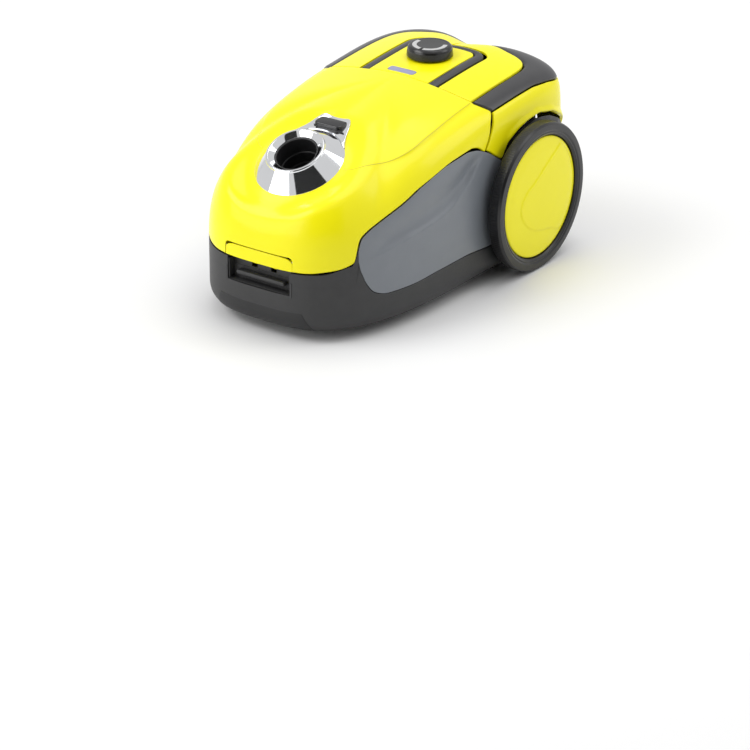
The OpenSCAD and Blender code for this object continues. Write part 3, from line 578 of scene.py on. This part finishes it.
def style_line(name, side, end):
    """Fine raised line that runs on from the style fold, on one side of the inlet; its darker yellow is
    painted shade of the crease.
    """
    a = np.linspace(32, end, 150)
    w = curve(a, STYLE) + 0.4
    mid = seated(skin(w, side * a * line(w, SEAM_SIDE) / 90, -0.02), 0)
    mid[:, 1] -= SEAM_GAP
    step = np.gradient(mid, axis=0)
    step /= np.linalg.norm(step, axis=1)[:, None]
    out = mid - np.array([0.0, -40.0, 90.0])
    out /= np.linalg.norm(out, axis=1)[:, None]
    across = np.cross(step, out)
    sides, verts = 8, []
    for c, o, x in zip(mid, out, across):
        verts += [c + 0.42 * (math.cos(t) * x + 0.6 * math.sin(t) * o)
                  for t in np.linspace(0, 2 * math.pi, sides, endpoint=False)]
    faces = ring_faces(len(mid), sides)
    faces += [list(range(sides))[::-1], [(len(mid) - 1) * sides + j for j in range(sides)]]
    return put(name, np.array(verts), faces, 60)


# Style lines in darker yellow: painted shade along the crease
dress(style_line("style_line_right", 1, 89), "yellow_crease_shade", "lid")
dress(style_line("style_line_left", -1, 48), "yellow_crease_shade", "lid")

# Hinge knuckles and latch ears under the lid
for side, tag in ((-1, "l"), (1, "r")):
    x0, x1 = sorted((8 * side, 21 * side))
    arm = block("arm", (x0, 32.3, 199.6), (x1, 36, 202.3), 0.3)
    dress(merge("lid_knuckle_" + tag, barrel(x0, x1, 2.9, LID_HINGE), arm), "yellow_shell", "lid")
    x0, x1 = sorted((42.6 * side, 46.4 * side))
    dress(block("latch_ear_" + tag, (x0, -196.2, 80.5), (x1, -191.2, 88), 0.5), "yellow_shell", "lid")


def flap_point(u, v, o):
    """Latch flap on the nose, with rounded lower corners."""
    side = 1 - 0.085 * np.clip((0.36 - v) / 0.36, 0, 1) ** 2.2
    phi = (2 * u - 1) * 19.55 * side
    w = 84.65 + (89.55 - 84.65) * v + 0.55 * np.abs(2 * u - 1) ** 14 * (1 - v)
    return skin(w, phi, o)


flap = shell("latch_flap", flap_point, 110, 24, (84, 13), 0.5, 2.4)
latch_parts = []
for x in (-12, 12):
    latch_parts += [block("arm", (x - 3, -196, 83.6), (x + 3, -184, 86.4)),
                    block("leg", (x - 3, -187, 68), (x + 3, -184, 85)),
                    block("hook", (x - 3, -185, 68), (x + 3, -180.8, 70.8))]
latch_parts.append(barrel(-39, 39, 2.4, LATCH_HINGE, 0.1))
dress(merge("latch_flap_whole", flap, *latch_parts), "yellow_shell", "latch", "lid_latch")

# ---- Inlet --------------------------------------------------------------------------------------
RING_PROFILE = [(22.8, -9), (22.8, -0.8), (27.4, 3.0), (28.3, 3.8), (29.9, 3.9), (30.9, 3.0), (31.2, 1.9),
                (47.2, -13.2), (47.5, -14.6), (47.3, -26), (44.8, -26), (44.8, -14.8), (28.8, 0.8),
                (25.4, -2.2), (25.4, -9)]
RING_EDGES = [0.1, 0.6, 0.6, 0.5, 0.6, 0.5, 0.5, 0.7, 0.8, 0.2, 0.2, 0.2, 0.2, 0.2, 0.2]
ring = lathe("ring", RING_PROFILE, INLET, INLET_ROT, 192, RING_EDGES)


def tab_point(u, v, o):
    """Chrome tab that carries the release button, 1.7 mm proud of the seat."""
    y = -106 + 41 * v
    x = (2 * u - 1) * curve(y, TAB_HALF)
    return seated(top(x, y)) + np.array([0, 0, 1.0]) * (1.7 - o)[..., None]


def arc(r, a0, a1, n):
    """Points of an arc, from one angle to the other in degrees."""
    return [(r * math.cos(a), r * math.sin(a)) for a in np.radians(np.linspace(a0, a1, n))]


tab = shell("tab", tab_point, 46, 44, (50, 41), 0.7, 1.3)
crescent = arc(54.6, 66, 108, 22) + arc(51.8, 105, 70, 22)
carve(tab, inlet_cyl(46.4, -60, 40), button_opening(16.8, 8.2, 6),
      slab("slot", crescent, -40, 20, INLET, INLET_ROT, 0))
dress(merge("chrome_inlet_ring", ring, tab), "chrome_trim", "lid", "inlet_ring")

liner = lathe("inlet_liner_black", [(21, -1.8), (22.6, -1.0), (22.6, -9.4), (44.6, -15.8), (44.6, -18.8),
                                    (24.5, -18.8), (22.5, -24), (22.5, -50), (17.5, -50), (17.5, -37),
                                    (19, -36), (19, -33), (20, -32), (20, -20), (21, -19)],
              INLET, INLET_ROT, 128, 0.35)
dress(liner, "black_matte", "lid", "inlet_liner")

dress(slab("slot_bed", crescent, -19, -13.2, INLET, INLET_ROT, 0), "black_matte", "lid")

button = slab("button", rect(-16.5, 16.5, -7.9, 7.9, 5.8, 10), -5, 0.9, BUTTON, BUTTON_ROT, 1.6, 5)
carve(button, inlet_cyl(49.0, -40, -13.4))
stem = lathe("stem", [(0, -8), (3, -8), (3, -1), (0, -1)], BUTTON, BUTTON_ROT, 32, 0.2)
dress(merge("release_key", button, stem), "black_plastic", "release", "release_button")

# ---- Side panels --------------------------------------------------------------------------------
CREASE = table((43.8, 85), (49.1, 83.4), (54.3, 80.8), (59.9, 78), (65.7, 75.9), (70.7, 73.7), (73.9, 71.1),
               (75.9, 68.4), (78.2, 65.2), (80.5, 61), (83, 57.2), (86, 55.6), (97, 55))


def panel_point(u, v, o):
    """Side panel; between its top edge and the crease it is hollowed by up to 4.2 mm."""
    phi = 43.85 + (97 - 43.85) * u
    t, b = curve(phi, PANEL_TOP) + 0.2, curve(phi, PANEL_LOW) - 0.2
    w = t + (b - t) * v
    span = np.maximum(np.maximum(curve(phi, CREASE), t + 0.01) - t, 0.5)
    x = np.clip((w - t) / span, 0, 1)
    depth = 4.2 * ease((phi - 45) / 10) * ease((86 - phi) / 8) * np.minimum(span / 10, 1)
    return skin(w, phi, o + depth * np.sin(math.pi * x ** 2))


panel = shell("panel_r", panel_point, 150, 110, (240, 110), 0.8, 1.9)
dress(mirrored(panel, "side_cover_left"), "grey_panel", "chassis", "side_panel_left")
panel.name = "side_cover_right"
dress(panel, "grey_panel", "chassis", "side_panel_right")


# ---- Rear shell, band ---------------------------------------------------------------------------
def mirror_u(u):
    """Folds a sweep round the back: parameter and side sign."""
    return 1 - np.abs(2 * u - 1), np.where(u > 0.5, -1.0, 1.0)


def housing_point(u, v, o):
    """Yellow rear shell between the dark strip and the base, flared over the wheels."""
    t, sgn = mirror_u(u)
    a = 85.3 + (180 - 85.3) * t
    near = np.clip((a - 85.3) / (98 - 85.3), 0, 1)
    at = np.where(a < 98, 90.5 + 7.5 * near, a)
    lo = line(at, BAND_OUT) + 0.45
    hi = line(a, HOUSING_EDGE)
    hi = np.where(a < 92.5, curve(a, HOUSING_EDGE[:3]), hi)
    w = lo + (hi - lo) * v
    phi = at + (a - at) * v
    arch_zone = ease((a - 94) / 3) * ease((147 - a) / 3)
    flare = 1.8 * ease((v - 0.72) / 0.28) * arch_zone
    p = skin(w, phi, o - flare)
    p[..., 0] *= sgn
    return p


housing = shell("rear_shell", housing_point, 240, 36, (520, 60), 0.7)
dress(housing, "yellow_shell", "chassis", "rear_housing")


def band_point(u, v, o):
    """Dark strip round the top of the rear, slightly crowned."""
    t, sgn = mirror_u(u)
    a = 90.55 + (180 - 90.55) * t
    lo, hi = curve(a, BAND_IN) + 0.4, curve(a, BAND_OUT)
    w = lo + (hi - lo) * v
    crown = 0.5 * np.sin(math.pi * v)
    p = skin(w, a, o - crown)
    p[..., 0] *= sgn
    return p


band = shell("outer_strip", band_point, 240, 14, (480, 18), 0.9)
dress(band, "dark_trim", "chassis", "outer_band")


# ---- Deck, window, knob -------------------------------------------------------------------------
def deck_point(u, v, o):
    """Control deck, 74 mm wide with rear corners of 8 mm."""
    front, back, half, r = 41.6, 129.5, 37, 8
    turn_y = back - r + 0.1
    y = front + (back - front) * np.sin(np.clip(v, 0, 1) * math.pi / 2)
    narrow = half - r + np.sqrt(np.maximum(0, r * r - (np.minimum(y, back) - turn_y) ** 2))
    return top((2 * u - 1) * np.where(y > turn_y, narrow, half), y, -o)


deck = shell("control_top", deck_point, 50, 70, (74, 88), 0.6)
carve(deck, lathe("bore", [(0, 195), (6, 195), (6, 215), (0, 215)], (0, KNOB.y, 0), None, 48, 0),
      slab("opening", rect(-18.8, 14.8, 45.7, 55.7, 4.2, 8), 203.4, 215, bevel=0))
dress(deck, "yellow_shell", "chassis", "control_deck")

window_y = 50.7
window_z = float(top(0.0, window_y)[2])
window = slab("level_window", rect(-18.4, 14.4, -4.6, 4.6, 3.8, 8), -1.5, 0.15,
              (0, window_y, window_z), turn("X", 0.108), 0.3, 3)
dress(window, "window", "chassis", "indicator_window")

skirt = lathe("skirt", [(0, 0), (23.6, 0), (24.5, 0.6), (24.4, 2.0), (23.8, 7.6), (23.2, 9.6), (21.6, 11.4),
                        (19.6, 11.9), (18.4, 11.6), (0, 11.6)], KNOB, None, 160,
              [0, 0.5, 0.6, 0.8, 1.2, 1.2, 1.2, 0.8, 0.5, 0])
stem = lathe("stem", [(0, -14), (3, -14), (3, 1), (0, 1)], KNOB, None, 32, 0.2)
dress(merge("power_dial", skirt, stem), "black_plastic", "knob", "speed_knob")


def dial_scale(name, a0, a1):
    """Grey strip on the knob's top, from one angle to the other."""
    outline = arc(18.5, a0, a1, 24) + arc(13.9, a0, a1, 24)[::-1]
    return slab(name, outline, 11.4, 11.85, KNOB, None, 0.15, 2)


dress(dial_scale("dial_scale_a", 167, 266), "mark_grey", "knob")
dress(dial_scale("dial_scale_b", 278, 388), "mark_grey", "knob")
tick = slab("dial_tick", rect(-0.7, 0.7, -20.4, -13.6, 0.5), 11.3, 12.1, KNOB, None, 0.2, 2)
dress(tick, "black_matte", "knob")


# ---- Carry handle and pedals --------------------------------------------------------------------
def measured(points):
    """A path's points and how far along it each one is, from 0 to 1."""
    pts = np.array(points)
    s = np.concatenate([[0], np.cumsum(np.linalg.norm(np.diff(pts, axis=0), axis=1))])
    return pts, s / s[-1]


def half_u(x, y0, y1, r):
    """Right half of a U: the leg from the front, then the corner."""
    return [(x, y0), (x, y1 - r)] + [(x - r + r * math.cos(a), y1 - r + r * math.sin(a))
                                     for a in np.linspace(0, math.pi / 2, 14)[1:]]


def corner_marks(x, y0, y1, r):
    """Where the corner starts and ends, as fractions of half a U."""
    leg, bow, rest = y1 - r - y0, r * math.pi / 2, x - r
    total = leg + bow + rest
    return leg / total, (leg + bow) / total


def along(t, path):
    """Point at a fraction of a measured path."""
    pts, s = path
    return np.stack([np.interp(t, s, pts[:, 0]), np.interp(t, s, pts[:, 1])], -1)


def whole_u(*shape):
    """Measured path of a whole U, and the fractions at which its legs and corners end."""
    half = half_u(*shape)
    start, end = corner_marks(*shape)
    path = measured(half + [(-x, y) for x, y in half[::-1]])
    return path, [0, start / 2, end / 2, 1 - end / 2, 1 - start / 2, 1]


HANDLE_OUT, HANDLE_OUT_MARKS = whole_u(47.3, 42.2, 137.5, 14)
HANDLE_IN, HANDLE_IN_MARKS = whole_u(37.9, 42.2, 130.8, 8)
HANDLE_KNOTS = [0, 0.3, 0.42, 0.58, 0.7, 1]


def handle_point(u, v, o):
    """Grip between two U outlines, crowned by 0.9 mm."""
    outer = along(np.interp(u, HANDLE_KNOTS, HANDLE_OUT_MARKS), HANDLE_OUT)
    inner = along(np.interp(u, HANDLE_KNOTS, HANDLE_IN_MARKS), HANDLE_IN)
    p = outer + (inner - outer) * v[..., None]
    rise = 0.9 * np.sin(math.pi * v) * ease(u / 0.05) * ease((1 - u) / 0.05)
    return top(p[..., 0], p[..., 1], rise - o)


handle = shell("grip", handle_point, 170, 12, (260, 9), 1.2, 8.4)
carve(handle, *[block("relief", (x, 38, 180), (x + 30, 43.2, 200.2), 0) for x in (30, -60)])
dress(handle, "dark_trim", "handle", "carry_handle")

PEDAL_U = (50.2, 41.8, 141.3, 15)
PEDAL_HALF_GAP = 0.8
PEDAL_IN = measured(half_u(*PEDAL_U) + [(PEDAL_HALF_GAP, PEDAL_U[2])])
PEDAL_CORNER = corner_marks(*PEDAL_U)


def pedal_outer():
    """The pedal's outer edge, along the inside of the dark strip."""
    a = np.concatenate([np.linspace(90.4, 126, 40), np.linspace(126, 179.45, 70)[1:]])
    return measured(skin_plan(curve(a, BAND_IN) - 0.45, a))


PEDAL_OUT = pedal_outer()
PEDAL_OUT_CORNER = float(PEDAL_OUT[1][np.argmax(PEDAL_OUT[0].sum(axis=1))])


def pedal_point(u, v, o):
    """Right foot pedal: half of the yellow frame round the handle."""
    a = along(np.interp(u, [0, 0.55, 0.7, 1], [0, *PEDAL_CORNER, 1]), PEDAL_IN)
    b = along(np.interp(u, [0, 0.62, 1], [0, PEDAL_OUT_CORNER, 1]), PEDAL_OUT)
    a[..., 0] = np.maximum(a[..., 0], PEDAL_HALF_GAP)
    b[..., 0] = np.maximum(b[..., 0], PEDAL_HALF_GAP)
    p = a + (b - a) * v[..., None]
    return top(p[..., 0], p[..., 1], -o)


pedal = shell("pedal_r", pedal_point, 130, 40, (190, 35), 0.8)
pedal = merge("foot_pedal_right", pedal, barrel(56, 80, 3.2, PEDAL_HINGE),
              block("web", (62, 48.4, 188.6), (74, 51.6, 195.4), 0.3))
dress(mirrored(pedal, "foot_pedal_left"), "yellow_shell", "rewind_pedal", "pedal_rewind")
dress(pedal, "yellow_shell", "power_pedal", "pedal_power")


# ---- Base ---------------------------------------------------------------------------------------
def base_skin():
    """Outer face of the base, from its rim to the belly, set in behind the panels and wheels."""
    cols, gap, panel_in, arch_in, belly_w = 360, 0.12, 6.2, 4.5, 152
    phi = np.linspace(-180, 180, cols, endpoint=False)
    a = plan_angle(phi)
    rim = line(a, TUB_EDGE) - gap
    step = np.where((a > 43) & (a < 100), curve(a, PANEL_LOW) + 1.0, 108)
    step = np.maximum(step, rim + 3)
    panel = ease((a - 43.95) / 0.35) * ease((98.4 - a) / 0.5)
    wheel = arch_in * ease((a - 97.5) / 1.5) * ease((147.5 - a) / 3)
    deep = panel_in * panel + wheel
    rows = [(rim, deep + 1.4), (rim, deep - gap)]
    rows += [(rim + (step - 1.2 - rim) * k / 8, deep - gap) for k in range(1, 9)]
    rows += [(step - 0.4, 6.0 * panel + wheel - 0.1), (step, 0.5 * panel + wheel - gap)]
    rows += [(step + 0.5, wheel - 0.15)]
    rows += [(step + (belly_w - step) * k / 8, wheel * (1 - ease((k - 4) / 4)) - 0.15) for k in range(1, 9)]
    rows += [(w + 0 * a, 0 * a - 0.15) for w in (156, 160, 164, 168, 171, 174, 176.5, 178.5, 179.6, 180)]
    grid = np.stack([skin(w, phi, o) for w, o in rows])
    faces = ring_faces(len(rows), cols) + [[(len(rows) - 1) * cols + j for j in range(cols)]]
    return put("base_skin", grid.reshape(-1, 3), faces, 40)


base = base_skin()
wall = base.modifiers.new("wall", "SOLIDIFY")
wall.thickness, wall.offset = 0.9 * MM, -1
settle(base)
carve(base, block("finger_opening", (-39, -206, 50), (39, -189, 82), 0),
      lathe("caster_well", [(0, 5), (30, 5), (30, 34), (0, 34)], (0, CASTER_Y, 0), None, 96, 0),
      block("barrel_relief", (-62.5, 190, 36.6), (62.5, 199.6, 44), 0), angle=38)
dress(base, "dark_base", "chassis")

# Finger recess with its inner bar; the back wall is notched for the latch's hooks
recess = merge("finger_recess",
               block("floor", (-39, -198.4, 48.4), (39, -188, 50.2), 0.4),
               block("back", (-39, -189.6, 49), (39, -187.6, 74), 0.3),
               block("end", (-39.2, -198.2, 49), (-37.6, -188, 72), 0.3),
               block("end", (37.6, -198.2, 49), (39.2, -188, 72), 0.3),
               block("bar", (-30, -197.6, 56.5), (30, -190, 61.0), 1.6))
carve(recess, *[block("notch", (x - 3.6, -192, 65.5), (x + 3.6, -186, 76), 0) for x in (-12, 12)], angle=38)
dress(recess, "dark_base", "chassis")


def relief_point(u, v, o):
    """Darker shallow field under the nose."""
    w = 149.2 + (176 - 149.2) * v
    return skin(w, (2 * u - 1) * (23.6 + 4.6 * v), o - 0.42)


front_cut = shell("front_relief", relief_point, 80, 24, (112, 26), 0.15, 0.4)
dress(front_cut, "black_matte", "chassis")


# ---- Wheels -------------------------------------------------------------------------------------
def tyre(name, side):
    """Tyre with 180 fine cross ribs on its tread."""
    prof = rounded([(68.6, 0.0), (77.0, 0.0), (79.9, 2.4), (80.0, 8.0), (79.9, 13.4), (78.4, 15.9),
                    (72.2, 16.0), (70.4, 15.0), (69.2, 15.4), (66.6, 13.6), (66.2, 11.0), (68.6, 11.0)],
                   0.7, 4)
    seg, verts, faces = 720, [], []
    n = len(prof)
    for i in range(seg):
        a = 2 * math.pi * i / seg
        rib = 0.45 if i % 4 < 2 else 0.0
        for r, x in prof:
            tread = rib if (r > 79.0 and 2.8 < x < 12.6) else 0.0
            rr = r - tread
            verts.append((side * (124.5 + x), AX_Y + rr * math.cos(a), AX_Z + rr * math.sin(a)))
    for i in range(seg):
        k = (i + 1) % seg
        for j in range(n):
            l = (j + 1) % n
            faces.append([i * n + j, k * n + j, k * n + l, i * n + l])
    return put(name, verts, faces, 30)


LEAF = [(44, 53), (15, 38), (-10.2, 22.7), (-28, 13), (-37.5, 1), (-36, -12), (-26.1, -24.5), (-12, -33.5),
        (3.4, -38), (20, -41), (40, -48), (90, -48), (90, 53)]


def leaf_outline():
    """Smooth closed outline through LEAF; its last side lies outside the cap and stays straight."""
    pts = []
    for i in range(len(LEAF) - 2):
        p0, p1, p2, p3 = (np.array(LEAF[k], float) for k in (max(i - 1, 0), i, i + 1, i + 2))
        for t in np.linspace(0, 1, 12, endpoint=False):
            pts.append(0.5 * (2 * p1 + (p2 - p0) * t + (2 * p0 - 5 * p1 + 4 * p2 - p3) * t * t
                              + (3 * p1 - p0 - 3 * p2 + p3) * t ** 3))
    return np.array(pts + [np.array(LEAF[-1], float)])


def depth_inside(y, z, outline):
    """Distance to a closed outline, positive inside it."""
    best, inside = np.full(y.shape, 1e9), np.zeros(y.shape, bool)
    for (ay, az), (by, bz) in zip(outline, np.roll(outline, -1, axis=0)):
        t = ((y - ay) * (by - ay) + (z - az) * (bz - az)) / ((by - ay) ** 2 + (bz - az) ** 2)
        t = np.clip(t, 0, 1)
        best = np.minimum(best, np.hypot(y - ay - t * (by - ay), z - az - t * (bz - az)))
        if az != bz:
            inside ^= ((az > z) != (bz > z)) & (y < (by - ay) * (z - az) / (bz - az) + ay)
    return np.where(inside, best, -best)


def wheel_cap(name, side):
    """Slightly domed cap; a leaf-shaped area of its face is raised behind a soft edge."""
    raised, edge, cols = 0.8, 1.8, 256
    rim = np.array([(64.8, 134.8), (65.2, 135.6), (65.2, 136.6), (64.8, 137.1), (64.0, 137.4)])
    face = np.array([(62.4, 137.6), (50.8, 138.5), (28.8, 139.2), (0, 139.5)])
    face_r = np.linspace(face[0, 0], 0.8, 64)
    r = np.concatenate([rim[:, 0], face_r])
    x = np.concatenate([rim[:, 1], np.interp(face_r, face[::-1, 0], face[::-1, 1])])
    around = np.linspace(0, 2 * np.pi, cols, endpoint=False)
    y, z = np.outer(r, np.cos(around)), np.outer(r, np.sin(around))
    lift = raised * ease(depth_inside(y, z, leaf_outline()) / edge + 0.5) * ease((face_r[0] - r) / 3)[:, None]
    verts = np.stack([side * (x[:, None] + lift), AX_Y + y, AX_Z + z], -1).reshape(-1, 3)
    faces = ring_faces(len(r), cols)
    faces += [[(len(r) - 1) * cols + j for j in range(cols)], list(range(cols))[::-1]]
    return put(name, verts, faces, 40)


for side, tag in ((1, "right"), (-1, "left")):
    body = "wheel_r" if side > 0 else "wheel_l"
    rot = AXLE_ROT if side > 0 else turn("Y", -math.pi / 2)
    at = (0, AX_Y, AX_Z)
    dress(tyre("tyre_ribbed_" + tag, side), "tyre_rubber", body, "tyre_" + tag)
    dress(wheel_cap("wheel_cap_" + tag, side), "yellow_shell", body, "cap_" + tag)
    hub = merge("wheel_hub_" + tag,
                lathe("boss", [(6.05, 121), (14, 121), (14, 130), (6.05, 130)], at, rot, 64, 0.4),
                lathe("disc", [(6.05, 128.6), (67.8, 128.6), (67.8, 131.4), (6.05, 131.4)],
                      at, rot, 128, 0.3),
                lathe("rim", [(65.9, 125), (68.5, 125), (68.5, 135.4), (65.9, 135.4)], at, rot, 128, 0.3))
    dress(hub, "black_matte", body, "rim_" + tag)


# ---- Exhaust cover ------------------------------------------------------------------------------
def cover_point(u, v, o):
    """Rear panel of the base between its two upright edges."""
    return skin(60.6 + (139.4 - 60.6) * v, 150.4 + (209.6 - 150.4) * u, o)


cover = shell("exhaust_grille", cover_point, 80, 50, (135, 110), 0.8)
slots = [slab("slot", rect(-48, 48, z, z + 4, 1.9, 5), -212, -190, (0, 0, 0), UPRIGHT, 0)
         for z in range(60, 140, 10)]
corners = [block("corner", (x0, 191, 36), (x1, 206, 43.6), 0) for x0, x1 in ((56.4, 75), (-75, -56.4))]
carve(cover, *corners, *slots)
cover_parts = []
for x0, x1 in ((-56, -38), (38, 56)):
    cover_parts += [barrel(x0, x1, 2.6, COVER_HINGE), block("web", (x0, 199.6, 39.6), (x1, 200.6, 43.4), 0.2)]
dress(merge("exhaust_grille_whole", cover, *cover_parts), "dark_base", "rear_cover", "exhaust_cover")


# ---- Dust bag -----------------------------------------------------------------------------------
def soft_bag():
    """Creased fleece bag."""
    n, m = 72, 160
    verts = []
    mid = np.array([0.0, -58.0, 80.0])
    size = np.array([86.0, 90.0, 40.0])
    for i in range(n + 1):
        lat = math.pi * (i / n - 0.5)
        for j in range(m):
            lon = 2 * math.pi * j / m
            cl = abs(math.cos(lat)) ** 0.8
            cx, sx = math.cos(lon), math.sin(lon)
            d = np.array([cl * math.copysign(abs(cx) ** 0.85, cx), cl * math.copysign(abs(sx) ** 0.85, sx),
                          math.copysign(abs(math.sin(lat)) ** 0.9, math.sin(lat))])
            p = mid + size * d
            q = Vector((p[0] * 0.012, p[1] * 0.012, p[2] * 0.03))
            fold = noise.noise(q) * 3.2 + noise.noise(q * 2.7 + Vector((3, 1, 2))) * 1.5
            rad = 1.4 * math.sin(lon * 14 + 3 * noise.noise(q * 1.3)) * cl * (1 - 0.6 * abs(math.sin(lat)))
            k = (fold + rad - 2.5) / 90
            verts.append(p + (p - mid) * k)
    return put("dust_sack", verts, ring_faces(n + 1, m), 60)


sack = soft_bag()
carve(sack, inlet_cyl(25.8, -120, -60, 64), angle=60)
neck = lathe("neck", [(26, -71), (26.8, -71), (27.4, -64), (28.6, -58), (28.6, -55), (26, -55)],
             INLET, INLET_ROT, 96, 0.2)
dress(merge("fleece_dust_bag", sack, neck), "bag_fleece", "chassis", "dust_bag")


# ---- Floor, light, camera -----------------------------------------------------------------------
def sheet(name, width, height):
    """Flat rectangle about the origin, not part of the object."""
    x, y = width / 2, height / 2
    me = bpy.data.meshes.new(name)
    me.from_pydata([(-x, -y, 0), (x, -y, 0), (x, y, 0), (-x, y, 0)], [], [[0, 1, 2, 3]])
    ob = bpy.data.objects.new(name, me)
    bpy.context.scene.collection.objects.link(ob)
    return ob


ground = sheet("floor", 12, 12)
pale_floor = material("pale_floor", (0.86, 0.86, 0.86, 1), (0.88, 0.88, 0.88, 1), 0.6, 3, 0.0)
ground.data.materials.append(pale_floor)
TARGET = Vector((0, 0, 0.1))


def area(name, at, size, power_w):
    """Soft rectangular light aimed at the object."""
    light = bpy.data.lights.new(name, "AREA")
    light.shape, light.size, light.size_y, light.energy = "RECTANGLE", size[0], size[1], power_w
    ob = bpy.data.objects.new(name, light)
    ob.location = at
    ob.rotation_euler = (TARGET - Vector(at)).to_track_quat("-Z", "Y").to_euler()
    bpy.context.scene.collection.objects.link(ob)


area("key", (-1.6, -1.6, 2.4), (1.8, 1.4), 34)
area("fill", (1.9, 1.7, 1.8), (1.4, 1.4), 12)
area("top", (0.2, 0.6, 2.6), (2.4, 1.8), 26)
area("front", (-1.5, -3.1, 1.1), (2.6, 1.5), 24)
world = bpy.data.worlds.new("studio")
world.use_nodes = True
world.node_tree.nodes["Background"].inputs["Color"].default_value = (1, 1, 1, 1)
world.node_tree.nodes["Background"].inputs["Strength"].default_value = 0.72
bpy.context.scene.world = world
bpy.context.scene.view_settings.view_transform = "Standard"

# Black studio card that only reflections see, for contrast in the chrome
dark_card = sheet("studio_card", 4.4, 2.6)
dark_card.location = (2.2, -2.6, 1.6)
dark_card.rotation_euler = (TARGET - dark_card.location).to_track_quat("Z", "Y").to_euler()
dark_card.visible_camera = False
card_black = material("card_black", (0.01, 0.01, 0.01, 1), (0.015, 0.015, 0.015, 1), 0.8, 3)
dark_card.data.materials.append(card_black)

# Camera solved from the photograph: it looks at a point above the floor, tipped down a little further
AZ, EL, TIP = math.radians(35.78), math.radians(21.99), math.radians(3.127)
LOOK_HEIGHT, DISTANCE = 0.098, 3.672
back = Vector((math.sin(AZ) * math.cos(EL), -math.cos(AZ) * math.cos(EL), math.sin(EL)))
up = Vector((-math.sin(EL) * math.sin(AZ), math.sin(EL) * math.cos(AZ), math.cos(EL)))
cam = bpy.data.cameras.new("camera")
cam.sensor_width, cam.lens, cam.clip_end = 36.0, 169.6, 50
eye = bpy.data.objects.new("camera", cam)
eye.location = Vector((0, 0, LOOK_HEIGHT)) + back * DISTANCE
aim = -back * math.cos(TIP) - up * math.sin(TIP)
eye.rotation_euler = aim.to_track_quat("-Z", "Y").to_euler()
bpy.context.scene.collection.objects.link(eye)
bpy.context.scene.camera = eye
